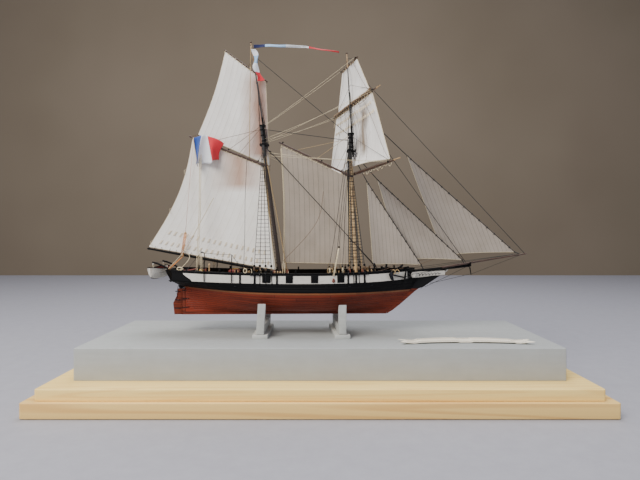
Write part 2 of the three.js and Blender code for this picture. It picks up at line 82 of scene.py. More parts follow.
def pairs(*numbers):
    """Pairs given in millimetres: lathe stations, or (up, out) round a strip."""
    return [(first * MM, second * MM) for first, second in numbers]


def grid_faces(columns, rows, first=0, flip=False):
    """Faces over a grid of points that runs rows + 1 to a column, from the first point's number."""
    faces = []
    for i in range(columns):
        for j in range(rows):
            a = first + i * (rows + 1) + j
            b = a + rows + 1
            faces.append((a, a + 1, b + 1, b) if flip else (a, b, b + 1, a + 1))
    return faces


# ------------------------------------------------------------------ camera
CAMERA_PLACE = (0.0, -0.5685, 0.1723)
LENS, SENSOR, SHIFT = 27.06, 36, -0.0047        # focal length and sensor width in mm, rise as a share of it


def set_camera():
    """A level camera square to the starboard side."""
    camera = bpy.data.cameras.new("camera")
    camera.lens = LENS
    camera.sensor_width = SENSOR
    camera.shift_y = SHIFT
    camera.clip_start = 0.01
    holder = bpy.data.objects.new("camera", camera)
    holder.location = CAMERA_PLACE
    holder.rotation_euler = (math.pi / 2, 0, 0)
    bpy.context.collection.objects.link(holder)
    bpy.context.scene.camera = holder


set_camera()


# ------------------------------------------------------------------ places from the frame
def points_of(node):
    """A node's corner points."""
    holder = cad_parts[node]
    return [holder.matrix_world @ v.co for v in holder.data.vertices]


def middle(node):
    """The middle of a node's box."""
    low, high = (Vector(c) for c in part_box(node))
    return (low + high) / 2


def corner(node, direction, reach=0.9 * MM):
    """The middle of the vertices that lie furthest in a direction."""
    aim = Vector(direction).normalized()
    points = points_of(node)
    far = max(p.dot(aim) for p in points)
    best = max(points, key=lambda p: p.dot(aim))
    near = [p for p in points if p.dot(aim) > far - reach and (p - best).length < 2 * reach]
    return sum(near, Vector()) / len(near)


def spar_ends(node, along):
    """The two ends of a round spar, the first one lowest in the given direction."""
    aim = Vector(along).normalized()
    points = points_of(node)
    ends = []
    for _ in range(3):
        low, high = min(p.dot(aim) for p in points), max(p.dot(aim) for p in points)
        slack = 0.004 * (high - low)
        first = [p for p in points if p.dot(aim) < low + slack]
        last = [p for p in points if p.dot(aim) > high - slack]
        ends = [sum(group, Vector()) / len(group) for group in (first, last)]
        aim = (ends[1] - ends[0]).normalized()
    return ends


# ------------------------------------------------------------------ shop tools
def clear_selection():
    """Leaves edit mode with nothing selected."""
    if bpy.context.object and bpy.context.object.mode != "OBJECT":
        bpy.ops.object.mode_set(mode="OBJECT")
    bpy.ops.object.select_all(action="DESELECT")


def pick(piece):
    """Makes one piece the selected and active one."""
    clear_selection()
    piece.select_set(True)
    bpy.context.view_layer.objects.active = piece


def settle(piece):
    """Puts the place, turn and size of a piece into its mesh."""
    piece.data.transform(piece.matrix_basis)
    piece.matrix_basis = Matrix()
    return piece


def recalculate(piece):
    """Welds doubled points and turns every face outward."""
    mesh = bmesh.new()
    mesh.from_mesh(piece.data)
    bmesh.ops.remove_doubles(mesh, verts=mesh.verts, dist=1e-6)
    bmesh.ops.dissolve_degenerate(mesh, edges=mesh.edges, dist=1e-7)
    bmesh.ops.recalc_face_normals(mesh, faces=mesh.faces)
    mesh.to_mesh(piece.data)
    mesh.free()


def with_modifier(piece, kind, **settings):
    """Adds a modifier and applies it."""
    pick(piece)
    modifier = piece.modifiers.new(kind.lower(), kind)
    for key, value in settings.items():
        setattr(modifier, key, value)
    bpy.ops.object.modifier_apply(modifier=modifier.name)
    return piece


def soften(piece, width=0.25 * MM, segments=2, angle=30):
    """Takes the sharp edges off and shades the rest smooth."""
    with_modifier(piece, "BEVEL", width=width, segments=segments, limit_method="ANGLE",
                  angle_limit=math.radians(angle))
    smooth(piece, angle)
    return piece


def smooth(piece, angle=40):
    """Shades a piece smooth, apart from edges sharper than an angle."""
    pick(piece)
    bpy.ops.object.shade_smooth_by_angle(angle=math.radians(angle))


def new_mesh(name, points, faces, uvs=None):
    """An object of its own mesh, with a UV for each point if given."""
    data = bpy.data.meshes.new(name)
    data.from_pydata([tuple(p) for p in points], [], faces)
    if uvs:
        layer = data.uv_layers.new(name="UVMap")
        for loop in data.loops:
            layer.data[loop.index].uv = uvs[loop.vertex_index]
    data.validate()
    data.update()
    piece = bpy.data.objects.new(name, data)
    bpy.context.collection.objects.link(piece)
    return piece


def fit_out(piece, finish, body="ship", replaces=()):
    """Gives a piece its finish, which may share the finish's name, and its body."""
    if finish:
        piece.data.materials.clear()
        piece.data.materials.append(FINISHES[finish])
    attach(piece, body)
    if replaces:
        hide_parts(*replaces)
    return piece


def joined(name, pieces):
    """Makes one object of several that share a body."""
    clear_selection()
    for piece in pieces:
        piece.select_set(True)
    bpy.context.view_layer.objects.active = pieces[0]
    bpy.ops.object.join()
    pieces[0].name = name
    pieces[0].data.name = name
    return pieces[0]


def copies(pattern, places, keep=False):
    """Copies of one modelled thing, each with its own mesh, at the given matrices."""
    made = []
    for place in places:
        twin = pattern.copy()
        twin.data = pattern.data.copy()
        twin.data.transform(place)
        bpy.context.collection.objects.link(twin)
        made.append(twin)
    if not keep:
        bpy.data.objects.remove(pattern)
    return made


def facing(place, along, up=Z):
    """A matrix that stands local Z along a direction, at a place."""
    aim = Vector(along).normalized()
    side = Vector(up).cross(aim)
    if side.length < 1e-4:
        side = X.cross(aim) if abs(aim.x) < 0.9 else Y.cross(aim)
    side.normalize()
    turn = Matrix((side, aim.cross(side), aim)).transposed()
    return Matrix.Translation(Vector(place)) @ turn.to_4x4()


def select_faces(piece, test):
    """In edit mode, selects the faces whose middle and normal pass a test."""
    mesh = bmesh.from_edit_mesh(piece.data)
    for face in mesh.faces:
        face.select_set(bool(test(face.calc_center_median(), face.normal)))
    mesh.select_flush_mode()
    bmesh.update_edit_mesh(piece.data)


def block(name, size, place=(0, 0, 0), shape=None, bevel=0.2 * MM):
    """A wooden block of a size, shaped by a function in edit mode, with its edges eased."""
    clear_selection()
    bpy.ops.mesh.primitive_cube_add(size=1, location=place, scale=tuple(size))
    piece = settle(bpy.context.object)
    piece.name = name
    if shape:
        bpy.ops.object.mode_set(mode="EDIT")
        bpy.ops.mesh.select_mode(type="FACE")
        shape(piece)
        bpy.ops.object.mode_set(mode="OBJECT")
    return soften(piece, bevel) if bevel else piece


def turned(name, stations, sides=14, angle=35):
    """Something turned on a lathe along Z: a disc drawn out through (height, radius) stations."""
    clear_selection()
    (start, radius), rest = stations[0], stations[1:]
    bpy.ops.mesh.primitive_circle_add(vertices=sides, radius=radius, fill_type="NGON",
                                      location=(0, 0, start))
    piece = settle(bpy.context.object)
    piece.name = name
    bpy.ops.object.mode_set(mode="EDIT")
    bpy.ops.mesh.select_all(action="SELECT")
    height = start
    for next_height, next_radius in rest:
        bpy.ops.mesh.extrude_region_move(TRANSFORM_OT_translate={"value": (0, 0, next_height - height)})
        scale = next_radius / radius
        bpy.ops.transform.resize(value=(scale, scale, 1), center_override=(0, 0, next_height))
        height, radius = next_height, next_radius
    bpy.ops.mesh.select_all(action="SELECT")
    bpy.ops.mesh.normals_make_consistent(inside=False)
    bpy.ops.object.mode_set(mode="OBJECT")
    smooth(piece, angle)
    return piece


def stand(piece, place, along, up=Z):
    """Moves a piece's mesh so its local Z runs along a direction from a place."""
    piece.data.transform(facing(place, along, up))
    return piece


def banded(length, radius_at, bands=(), band=(1.6 * MM, 0.25 * MM), rings=12):
    """Lathe stations of a tapered spar with raised bands at some distances along it."""
    width, proud = band
    marks = [(length * k / rings, 0) for k in range(rings + 1)]
    marks = [m for m in marks if all(abs(m[0] - b) > width for b in bands)]
    for b in bands:
        marks += [(b - width / 2, 0), (b - width / 2 + 1e-5, proud), (b + width / 2 - 1e-5, proud),
                  (b + width / 2, 0)]
    return [(s, radius_at(s / length) + extra) for s, extra in sorted(marks)]


# ------------------------------------------------------------------ cordage
def sagging(a, b, sag=0.0, count=10, down=-Z):
    """Points of a rope from a to b that hangs a little in the middle."""
    a, b = Vector(a), Vector(b)
    return [a.lerp(b, k / count) + down * sag * 4 * (k / count) * (1 - k / count) for k in range(count + 1)]


def rounded(points, steps=6):
    """A smooth line through a few points."""
    line = []
    ends = [points[0] * 2 - points[1], *points, points[-1] * 2 - points[-2]]
    for i in range(1, len(ends) - 2):
        p0, p1, p2, p3 = ends[i - 1:i + 3]
        for k in range(steps):
            t = k / steps
            line.append(0.5 * (2 * p1 + (p2 - p0) * t + (2 * p0 - 5 * p1 + 4 * p2 - p3) * t * t
                               + (3 * p1 - p0 - 3 * p2 + p3) * t ** 3))
    return [*line, Vector(points[-1])]


def cordage(name, lines, radius, sides=6):
    """One mesh of closed rope tubes along lines of points; UV runs round and along each rope in metres."""
    points, faces, uvs = [], [], []
    for line in lines:
        line = [Vector(p) for p in line]
        line = [p for i, p in enumerate(line) if i == 0 or (p - line[i - 1]).length > 1e-6]
        first = len(points)
        tangent = (line[1] - line[0]).normalized()
        side = tangent.orthogonal().normalized()
        run = 0.0
        for i, place in enumerate(line):
            ahead = line[min(i + 1, len(line) - 1)] - line[max(i - 1, 0)]
            turn = tangent.rotation_difference(ahead.normalized())
            tangent, side = ahead.normalized(), (turn @ side).normalized()
            across = tangent.cross(side)
            run += (place - line[i - 1]).length if i else 0
            for k in range(sides):
                angle = 2 * math.pi * k / sides
                points.append(place + radius * (side * math.cos(angle) + across * math.sin(angle)))
                uvs.append((k / sides, run))
        for i in range(len(line) - 1):
            ring = first + i * sides
            for k in range(sides):
                n = (k + 1) % sides
                faces.append((ring + k, ring + n, ring + sides + n, ring + sides + k))
        faces.append(tuple(first + k for k in reversed(range(sides))))
        faces.append(tuple(len(points) - sides + k for k in range(sides)))
    piece = new_mesh(name, points, faces, uvs)
    for polygon in piece.data.polygons:
        polygon.use_smooth = True
    return piece


def rig(name, lines, radius, finish, sides=5, body="ship", replaces=()):
    """Cordage of a radius in millimetres, with its finish and body."""
    return fit_out(cordage(name, lines, radius * MM, sides), finish, body, replaces)


def loop_of(matrix, wide, high, rise=0.0, count=10):
    """One turn of rope in the XY plane of a matrix, which rises a little as it goes round."""
    return [matrix @ Vector((wide * math.cos(t), high * math.sin(t), rise * t / FULL_TURN))
            for t in stretch(0, 2 * math.pi, count)]


def coil(place, width, height, turns=2, up=Z, flat=0.35 * MM):
    """The line of a small hanging coil of rope."""
    matrix = facing(place, up)
    count = 14 * turns
    return [matrix @ Vector((width / 2 * math.cos(2 * math.pi * k / 14),
                             height / 2 * math.sin(2 * math.pi * k / 14),
                             flat * (k / 14 - turns / 2))) for k in range(count + 1)]


# ------------------------------------------------------------------ finishes
def srgb(red, green, blue):
    """A paint chip's 0-255 colour as the linear colour a shader takes."""
    def linear(c):
        c /= 255
        return c / 12.92 if c <= 0.04045 else ((c + 0.055) / 1.055) ** 2.4
    return (linear(red), linear(green), linear(blue), 1.0)


class Graph:
    """A small hand for wiring shader nodes."""

    def __init__(self, tree):
        self.tree = tree

    def add(self, kind, inputs=None, **settings):
        node = self.tree.nodes.new(kind)
        for key, value in settings.items():
            setattr(node, key, value)
        for key, value in (inputs or {}).items():
            self.join(value, node.inputs[key])
        return node

    def join(self, value, socket):
        if isinstance(value, bpy.types.NodeSocket):
            self.tree.links.new(value, socket)
        else:
            socket.default_value = value

    def math(self, operation, *values, clamp=False):
        node = self.add("ShaderNodeMath", operation=operation, use_clamp=clamp)
        for i, value in enumerate(values):
            self.join(value, node.inputs[i])
        return node.outputs[0]

    def times(self, *values, clamp=False):
        return self.math("MULTIPLY", *values, clamp=clamp)

    def plus(self, a, b):
        return self.math("ADD", a, b)

    def less(self, a, b):
        return self.math("SUBTRACT", a, b)

    def mix(self, factor, a, b, blend="MIX"):
        node = self.add("ShaderNodeMix", data_type="RGBA", blend_type=blend)
        for index, value in ((0, factor), (6, a), (7, b)):
            self.join(value, node.inputs[index])
        return node.outputs[2]

    def range(self, value, low, high, new_low=0.0, new_high=1.0):
        node = self.add("ShaderNodeMapRange", clamp=True)
        for i, v in enumerate((value, low, high, new_low, new_high)):
            self.join(v, node.inputs[i])
        return node.outputs[0]

    def stretched(self, vector, scale):
        node = self.add("ShaderNodeVectorMath", {0: vector}, operation="MULTIPLY")
        node.inputs[1].default_value = scale
        return node.outputs[0]

    def noise(self, vector, scale, detail=3.0, rough=0.5, distort=0.0):
        node = self.add("ShaderNodeTexNoise", {
            "Vector": vector, "Scale": scale, "Detail": detail, "Roughness": rough, "Distortion": distort})
        return node.outputs["Fac"]


def effect(name, inputs, outputs):
    """An empty shader group with named sockets; returns its graph, its inputs and a way to set outputs."""
    tree = bpy.data.node_groups.new(name, "ShaderNodeTree")
    kinds = {"colour": "NodeSocketColor", "value": "NodeSocketFloat", "vector": "NodeSocketVector"}
    for label, kind, start in inputs:
        socket = tree.interface.new_socket(name=label, in_out="INPUT", socket_type=kinds[kind])
        if start is not None:
            socket.default_value = start
    for label, kind in outputs:
        tree.interface.new_socket(name=label, in_out="OUTPUT", socket_type=kinds[kind])
    graph = Graph(tree)
    source = graph.add("NodeGroupInput").outputs
    sink = graph.add("NodeGroupOutput").inputs
    return tree, graph, source, lambda **ends: [graph.join(v, sink[k.replace("_", " ")]) for k,
                                                v in ends.items()]


def make_grain():
    """Wood: growth rings drawn out along the grain, with fine pores."""
    tree, g, given, end = effect("Wood Grain", [
        ("Vector", "vector", None), ("Light", "colour", srgb(220, 190, 140)),
        ("Dark", "colour", srgb(150, 100, 60)), ("Rings", "value", 60.0), ("Contrast", "value", 0.6)],
                                 [("Colour", "colour"), ("Roughness", "value"),
                                                               ("Height", "value")])
    broad = g.noise(given["Vector"], given["Rings"], 2.0, 0.45)
    rings = g.math("SINE", g.times(broad, 52.0))
    lines = g.range(rings, 0.1, 1.0)
    pores = g.noise(given["Vector"], g.times(given["Rings"], 16.0), 4.0, 0.6)
    shade = g.times(g.plus(g.times(lines, 0.7), g.times(pores, 0.5)),
                   given["Contrast"], clamp=True)
    end(Colour=g.mix(shade, given["Light"], given["Dark"]), Roughness=g.range(pores, 0.3, 0.7, 0.42, 0.62),
        Height=g.less(1.0, g.times(g.plus(lines, pores), 0.5)))
    return tree


def make_paint():
    """Hand-brushed paint: faint long streaks, a mottled tone and a little grime mixed in by the same noise.
    """
    tree, g, given, end = effect("Brushed Paint", [
        ("Vector", "vector", None), ("Paint", "colour", srgb(180, 185, 185)),
        ("Grime", "colour", srgb(120, 110, 95)), ("Streaks", "value", 0.25), ("Scale", "value", 90.0)],
                                 [("Colour", "colour"), ("Roughness", "value"),
                                                              ("Height", "value")])
    streaks = g.noise(g.stretched(given["Vector"], (0.06, 1.0, 0.5)), g.times(given["Scale"], 7.0), 4.0,
                      0.6)
    mottle = g.noise(given["Vector"], given["Scale"], 4.0, 0.55)
    tone = g.range(g.plus(g.times(streaks, 0.5), g.times(mottle, 0.5)), 0.35, 0.68)
    end(Colour=g.mix(g.times(tone, given["Streaks"]), given["Paint"], given["Grime"]),
        Roughness=g.range(mottle, 0.3, 0.7, 0.5, 0.72), Height=streaks)
    return tree


def make_planks():
    """Laid planks on a UV of (metres along, plank number): a tone for each plank and dark joints."""
    tree, g, given, end = effect("Planks", [
        ("UV", "vector", None), ("Plank Length", "value", 0.06), ("Seam", "value", 0.06)],
        [("Tone", "value"), ("Joint", "value"), ("Grain", "vector")])
    parts = g.add("ShaderNodeSeparateXYZ", {0: given["UV"]}).outputs
    row = g.math("FLOOR", parts[1])
    shift = g.math("FRACT", g.times(row, 0.381))
    along = g.plus(g.math("DIVIDE", parts[0], given["Plank Length"]), shift)
    number = g.math("FLOOR", along)
    seed = g.add("ShaderNodeCombineXYZ", {0: row, 1: number}).outputs[0]
    tone = g.add("ShaderNodeTexWhiteNoise", {"Vector": seed}, noise_dimensions="3D").outputs["Value"]
    to_seam = g.math("ABSOLUTE", g.less(g.math("FRACT", parts[1]), 0.5))
    seam = g.range(to_seam, g.less(0.5, given["Seam"]), 0.5)
    to_butt = g.math("ABSOLUTE", g.less(g.math("FRACT", along), 0.5))
    butt = g.math("GREATER_THAN", to_butt, 0.4965)
    stretched = g.add("ShaderNodeCombineXYZ", {
        0: parts[0], 1: g.times(parts[1], 0.004), 2: g.times(tone, 3.0)}).outputs[0]
    end(Tone=tone, Joint=g.math("MAXIMUM", seam, butt), Grain=stretched)
    return tree


def make_weave():
    """Plain cloth on a UV in metres: threads both ways, with seams at an even spacing across."""
    tree, g, given, end = effect("Sailcloth", [
        ("UV", "vector", None), ("Cloth", "colour", srgb(205, 200, 190)),
        ("Stain", "colour", srgb(160, 148, 128)),
        ("Stitch", "colour", srgb(120, 110, 98)), ("Thread", "value", 0.00042),
        ("Seam Spacing", "value", 0.0075), ("Seam Width", "value", 0.035), ("Mottle", "value", 0.5)],
                                 [("Colour", "colour"), ("Roughness", "value"),
                                                                   ("Height", "value")])
    parts = g.add("ShaderNodeSeparateXYZ", {0: given["UV"]}).outputs
    waves = []
    for axis in (0, 1):
        turns = g.times(g.math("DIVIDE", parts[axis], given["Thread"]), 2 * math.pi)
        waves.append(g.math("SINE", turns))
    weave = g.times(waves[0], waves[1])
    slub = g.noise(g.stretched(given["UV"], (1.0, 0.08, 1.0)), 1400.0, 2.0)
    cloud = g.noise(given["UV"], 34.0, 5.0, 0.6)
    seam_at = g.math("FRACT", g.math("DIVIDE", parts[0], given["Seam Spacing"]))
    near = g.math("MINIMUM", seam_at, g.less(1.0, seam_at))
    seam = g.math("LESS_THAN", near, given["Seam Width"])
    dashes = g.math("GREATER_THAN", g.math("FRACT", g.times(parts[1], 620.0)), 0.22)
    stitched = g.times(g.times(seam, dashes), 0.55)
    stain = g.times(g.range(cloud, 0.35, 0.75), given["Mottle"])
    body = g.mix(stain, given["Cloth"], given["Stain"])
    fine = g.mix(g.times(slub, 0.16), body, given["Stain"])
    end(Colour=g.mix(stitched, fine, given["Stitch"]), Roughness=g.range(slub, 0.3, 0.7, 0.8, 0.95),
        Height=g.plus(g.times(weave, 0.5), g.times(slub, 0.6)))
    return tree


def make_lay():
    """Laid rope on a UV of (turn, metres along): the strands wind round it."""
    tree, g, given, end = effect("Rope Lay", [
        ("UV", "vector", None), ("Fibre", "colour", srgb(200, 180, 140)),
        ("Shadow", "colour", srgb(110, 90, 60)),
        ("Pitch", "value", 0.0022)], [("Colour", "colour"), ("Height", "value")])
    parts = g.add("ShaderNodeSeparateXYZ", {0: given["UV"]}).outputs
    wound = g.plus(g.times(parts[0], 3.0),
                   g.math("DIVIDE", parts[1], g.math("DIVIDE", given["Pitch"], 3.0)))
    strand = g.math("ABSOLUTE", g.math("SINE", g.times(wound, math.pi)))
    fuzz = g.noise(given["UV"], 900.0, 2.0)
    shade = g.less(1.0, g.range(g.plus(strand, g.times(fuzz, 0.3)), 0.2, 1.1))
    end(Colour=g.mix(shade, given["Fibre"], given["Shadow"]), Height=strand)
    return tree


def make_dust():
    """Pale dust that has settled on what faces up."""
    tree, g, given, end = effect("Dust", [("Colour", "colour", None), ("Amount", "value", 0.2)],
                                 [("Colour", "colour")])
    facing_up = g.add("ShaderNodeSeparateXYZ",
                      {0: g.add("ShaderNodeNewGeometry").outputs["Normal"]}).outputs[2]
    place = g.add("ShaderNodeTexCoord").outputs["Object"]
    specks = g.range(g.noise(place, 420.0, 6.0, 0.7), 0.42, 0.72)
    veil = g.times(g.times(g.range(facing_up, 0.2, 1.0), specks), given["Amount"])
    end(Colour=g.mix(veil, given["Colour"], srgb(196, 190, 180)))
    return tree


EFFECTS = {
    "grain": make_grain(), "paint": make_paint(), "planks": make_planks(), "weave": make_weave(),
    "lay": make_lay(), "dust": make_dust(),
}
FINISHES = {}


class Finish:
    """One material: its shader, its coordinates and the shared effects placed in it."""

    def __init__(self, name, roughness=0.6, metallic=0.0, **sockets):
        self.material = bpy.data.materials.new(name)
        self.material.use_nodes = True
        self.graph = Graph(self.material.node_tree)
        self.shader = self.material.node_tree.nodes["Principled BSDF"]
        self.set("Roughness", roughness)
        self.set("Metallic", metallic)
        for label, value in sockets.items():
            self.set(label.replace("_", " "), value)
        place = self.graph.add("ShaderNodeTexCoord")
        self.object, self.uv = place.outputs["Object"], place.outputs["UV"]
        FINISHES[name] = self.material

    def set(self, label, value):
        self.graph.join(value, self.shader.inputs[label])

    def use(self, effect_name, **inputs):
        node = self.graph.add("ShaderNodeGroup", node_tree=EFFECTS[effect_name])
        for label, value in inputs.items():
            self.graph.join(value, node.inputs[label.replace("_", " ")])
        return node.outputs

    def turned(self, scale, angle=(0, 0, 0)):
        """Object coordinates with the grain drawn out along the small axis of the scale."""
        return self.graph.add("ShaderNodeMapping", {
            "Vector": self.object, "Scale": scale, "Rotation": angle}).outputs[0]

    def close(self, colour, dust, roughness, height, depth):
        """Sets the look that most finishes share: a dusted colour, a roughness and a relief depth in mm."""
        self.set("Base Color", self.use("dust", Colour=colour, Amount=dust)[0])
        self.set("Roughness", roughness)
        self.bump(height, depth * MM)

    def grain_of(self, along, light, dark, rings, contrast):
        return self.use("grain", Vector=self.turned(along), Light=srgb(*light), Dark=srgb(*dark),
                        Rings=rings, Contrast=contrast)

    def paint_of(self, tone, grime, streaks, scale):
        return self.use("paint", Vector=self.object, Paint=srgb(*tone), Grime=srgb(*grime), Streaks=streaks,
                        Scale=scale)

    def bump(self, height, distance, strength=0.6):
        node = self.graph.add("ShaderNodeBump",
                              {"Height": height, "Distance": distance, "Strength": strength})
        self.set("Normal", node.outputs[0])


def wood(name, light, dark, rings, contrast, along=(0.05, 1, 1), dust=0.1, gloss=0.5, coat=0.0, depth=0.02):
    """Grained timber, the grain along the small axis of along."""
    finish = Finish(name, gloss, Coat_Weight=coat, Coat_Roughness=0.25)
    grain = finish.grain_of(along, light, dark, rings, contrast)
    finish.close(grain["Colour"], dust, grain["Roughness"], grain["Height"], depth)


def paint(name, tone, grime, streaks=0.25, scale=90.0, dust=0.12, depth=0.03, coat=0.0, gloss=0.5):
    """Brushed paint with a little grime."""
    finish = Finish(name, 0.6, Coat_Weight=coat, Coat_Roughness=0.3, Specular_IOR_Level=gloss)
    layer = finish.paint_of(tone, grime, streaks, scale)
    finish.close(layer["Colour"], dust, layer["Roughness"], layer["Height"], depth)


def planking(name, light, dark, seam_colour, length, seam, grain_scale, coat=0.0, dust=0.08, red_aft=None):
    """Planks whose tone goes from light to dark, with dark joints and a fine grain along them."""
    finish = Finish(name, 0.45, Coat_Weight=coat, Coat_Roughness=0.22, Specular_IOR_Level=0.22)
    g = finish.graph
    planks = finish.use("planks", UV=finish.uv, Plank_Length=length, Seam=seam)
    grain = finish.use("grain", Vector=g.stretched(planks["Grain"], (6.0, 900.0, 40.0)), Light=srgb(*light),
                       Dark=srgb(*dark), Rings=grain_scale, Contrast=0.55)
    toned = g.mix(g.times(planks["Tone"], 0.6), grain["Colour"], srgb(*dark))
    patchy = g.mix(g.range(g.noise(finish.object, 38.0, 4.0), 0.42, 0.66, 0.0, 0.4), toned, srgb(*light))
    if red_aft:
        along = g.add("ShaderNodeSeparateXYZ", {0: finish.object}).outputs[0]
        patchy = g.mix(g.range(along, -0.05, -0.165, 0.0, 0.55), patchy, srgb(*red_aft))
    jointed = g.mix(g.times(planks["Joint"], 0.8), patchy, srgb(*seam_colour))
    finish.close(jointed, dust, grain["Roughness"], g.less(grain["Height"], g.times(planks["Joint"], 1.5)),
                 0.04)


def cloth(name, tone, stain, stitch, seam, width=0.035, mottle=0.5, shade=None, column=None, heights=None):
    """Sailcloth; shade is a painted shade colour that darkens a soft upright patch at column (x, half width)
    between heights, in mm.
    """
    finish = Finish(name, 0.9, Sheen_Weight=0.25, Sheen_Roughness=0.5)
    sail = finish.use("weave", UV=finish.uv, Cloth=srgb(*tone), Stain=srgb(*stain), Stitch=srgb(*stitch),
                      Seam_Spacing=seam * MM, Seam_Width=width, Mottle=mottle)
    colour = sail["Colour"]
    # painted shade: the shade colour is multiplied into the cloth over a soft patch
    if shade:
        g = finish.graph
        place = g.add("ShaderNodeSeparateXYZ", {0: finish.object}).outputs
        wander = g.range(g.noise(finish.object, 45.0, 3.0), 0.3, 0.7, -3 * MM, 3 * MM)
        away = g.math("ABSOLUTE", g.less(g.plus(place[0], wander), column[0] * MM))
        near = g.range(away, 0.0, column[1] * MM, 1.0, 0.0)
        level = g.times(g.range(place[2], heights[0] * MM, (heights[0] + 10) * MM),
                       g.range(place[2], (heights[1] - 14) * MM, heights[1] * MM, 1.0, 0.0))
        colour = g.mix(g.times(near, level), colour, srgb(*shade), "MULTIPLY")
    finish.set("Base Color", colour)
    finish.set("Roughness", sail["Roughness"])
    finish.bump(sail["Height"], 0.05 * MM, 0.5)


def line_finish(name, fibre, shadow, pitch=2.2):
    """Laid rope, its pitch in mm."""
    finish = Finish(name, 0.85, Sheen_Weight=0.15)
    lay = finish.use("lay", UV=finish.uv, Fibre=srgb(*fibre), Shadow=srgb(*shadow), Pitch=pitch * MM)
    finish.set("Base Color", lay["Colour"])
    finish.bump(lay["Height"], 0.08 * MM, 0.8)


def metal(name, tone, dark, roughness, scale=300.0):
    """Spotted metal."""
    finish = Finish(name, roughness, 1.0)
    g = finish.graph
    spots = g.noise(finish.object, scale, 5.0, 0.6)
    finish.set("Base Color", g.mix(g.range(spots, 0.4, 0.65), srgb(*tone), srgb(*dark)))
    finish.set("Roughness", g.range(spots, 0.35, 0.7, roughness - 0.1, roughness + 0.2))
    finish.bump(spots, 0.04 * MM, 0.4)


wood("pine_board", (240, 204, 126), (210, 162, 92), 34.0, 0.75, along=(0.035, 1, 1), gloss=0.5, depth=0.03)
wood("pine_step", (252, 220, 136), (226, 180, 100), 60.0, 0.5, along=(0.03, 1, 1), gloss=0.5, depth=0.02)
paint("plinth_grey", (168, 172, 172), (144, 145, 142), 0.35, 60.0, depth=0.06)
paint("cradle_grey", (186, 188, 184), (150, 148, 142), 0.4, 160.0)
paint("white_paint", (202, 198, 190), (140, 132, 118), 0.3, 240.0)
paint("black_paint", (8, 8, 10), (22, 22, 24), 0.3, 240.0, dust=0.01, coat=0.0, gloss=0.12)
paint("red_paint", (112, 34, 26), (50, 18, 16), 0.45, 260.0, dust=0.1, coat=0.2)
paint("label_card", (244, 238, 222), (206, 192, 164), 0.45, 140.0, dust=0.05, depth=0.01)
wood("dark_spar", (74, 46, 32), (30, 18, 14), 220.0, 0.8, dust=0.14, gloss=0.4, coat=0.25)
wood("light_spar", (196, 164, 118), (128, 92, 58), 220.0, 0.7, dust=0.1, coat=0.1)
wood("varnished_trim", (120, 56, 34), (62, 24, 16), 240.0, 0.7, dust=0.08, coat=0.3)
planking("hull_planks", (128, 46, 22), (50, 14, 8), (16, 6, 5), 0.062, 0.09, 5.0, coat=0.12, dust=0.015,
         red_aft=(146, 50, 24))
planking("tan_strake", (138, 84, 48), (98, 52, 28), (62, 34, 22), 0.0102, 0.02, 7.0, coat=0.2)
planking("deck_planks", (206, 172, 120), (166, 128, 82), (84, 60, 40), 0.05, 0.09, 6.0)
# painted shade: the headsail and foresail cloths are darker than the main sails' to stand in for the shade
# they are in
cloth("shaded_headsail_cloth", (164, 154, 143), (138, 127, 113), (62, 52, 44), 4.4, 0.05)
cloth("foresail_cloth", (160, 149, 136), (134, 122, 106), (70, 60, 50), 6.0, 0.05)
# painted shadow: shade darkens the mainsail below the gaff, where the gaff's shadow falls
cloth("main_cloth", (240, 238, 233), (212, 204, 192), (186, 176, 162), 9.0, 0.025, shade=(196, 166, 150),
      column=(-96, 36), heights=(225, 292))
# painted shade: shade darkens a patch of the gaff topsail where its folds are in shade
cloth("topsail_cloth", (240, 238, 234), (214, 207, 197), (168, 158, 146), 6.4, 0.035, shade=(178, 140, 124),
      column=(-72, 26), heights=(262, 372))
# painted shade: shade darkens a narrow fold in the fore topsail
cloth("square_cloth", (250, 249, 247), (222, 216, 207), (188, 180, 168), 8.6, 0.025, shade=(128, 108, 84),
      column=(49, 6), heights=(262, 326))
cloth("reef_tab", (214, 202, 180), (188, 174, 148), (150, 134, 108), 40.0)
for label, tone in (("blue", (42, 78, 160)), ("white", (226, 230, 236)), ("red", (206, 36, 50)),
                    ("pale_blue", (150, 186, 222)), ("navy", (24, 34, 84))):
    cloth("bunting_" + label, tone, tuple(int(c * 0.8) for c in tone), tuple(int(c * 0.7) for c in tone),
          60.0)
line_finish("tarred_line", (20, 17, 17), (7, 6, 7), 1.6)
line_finish("tan_line", (196, 168, 120), (120, 92, 58))
line_finish("cream_line", (228, 214, 180), (160, 140, 104))
line_finish("orange_line", (226, 152, 84), (150, 88, 44))
line_finish("pink_line", (222, 176, 160), (160, 112, 98))
line_finish("brown_line", (120, 92, 66), (62, 44, 32))
metal("iron", (60, 60, 64), (26, 24, 24), 0.5)
metal("brass", (196, 158, 84), (120, 88, 44), 0.32)


def backbone_finish():
    """Varnished timber below the wale's height and black paint above it."""
    finish = Finish("hull_backbone", 0.5, Coat_Weight=0.08, Coat_Roughness=0.25, Specular_IOR_Level=0.2)
    g = finish.graph
    grain = finish.grain_of((0.06, 1, 1), (122, 48, 26), (54, 18, 11), 170.0, 0.8)
    black = finish.paint_of((8, 8, 10), (22, 22, 24), 0.35, 240.0)
    height = g.add("ShaderNodeSeparateXYZ", {0: finish.object}).outputs[2]
    painted = g.math("GREATER_THAN", height, 111.5 * MM)
    tone = g.mix(painted, grain["Colour"], black["Colour"])
    finish.close(tone, 0.02, grain["Roughness"], grain["Height"], 0.03)


backbone_finish()


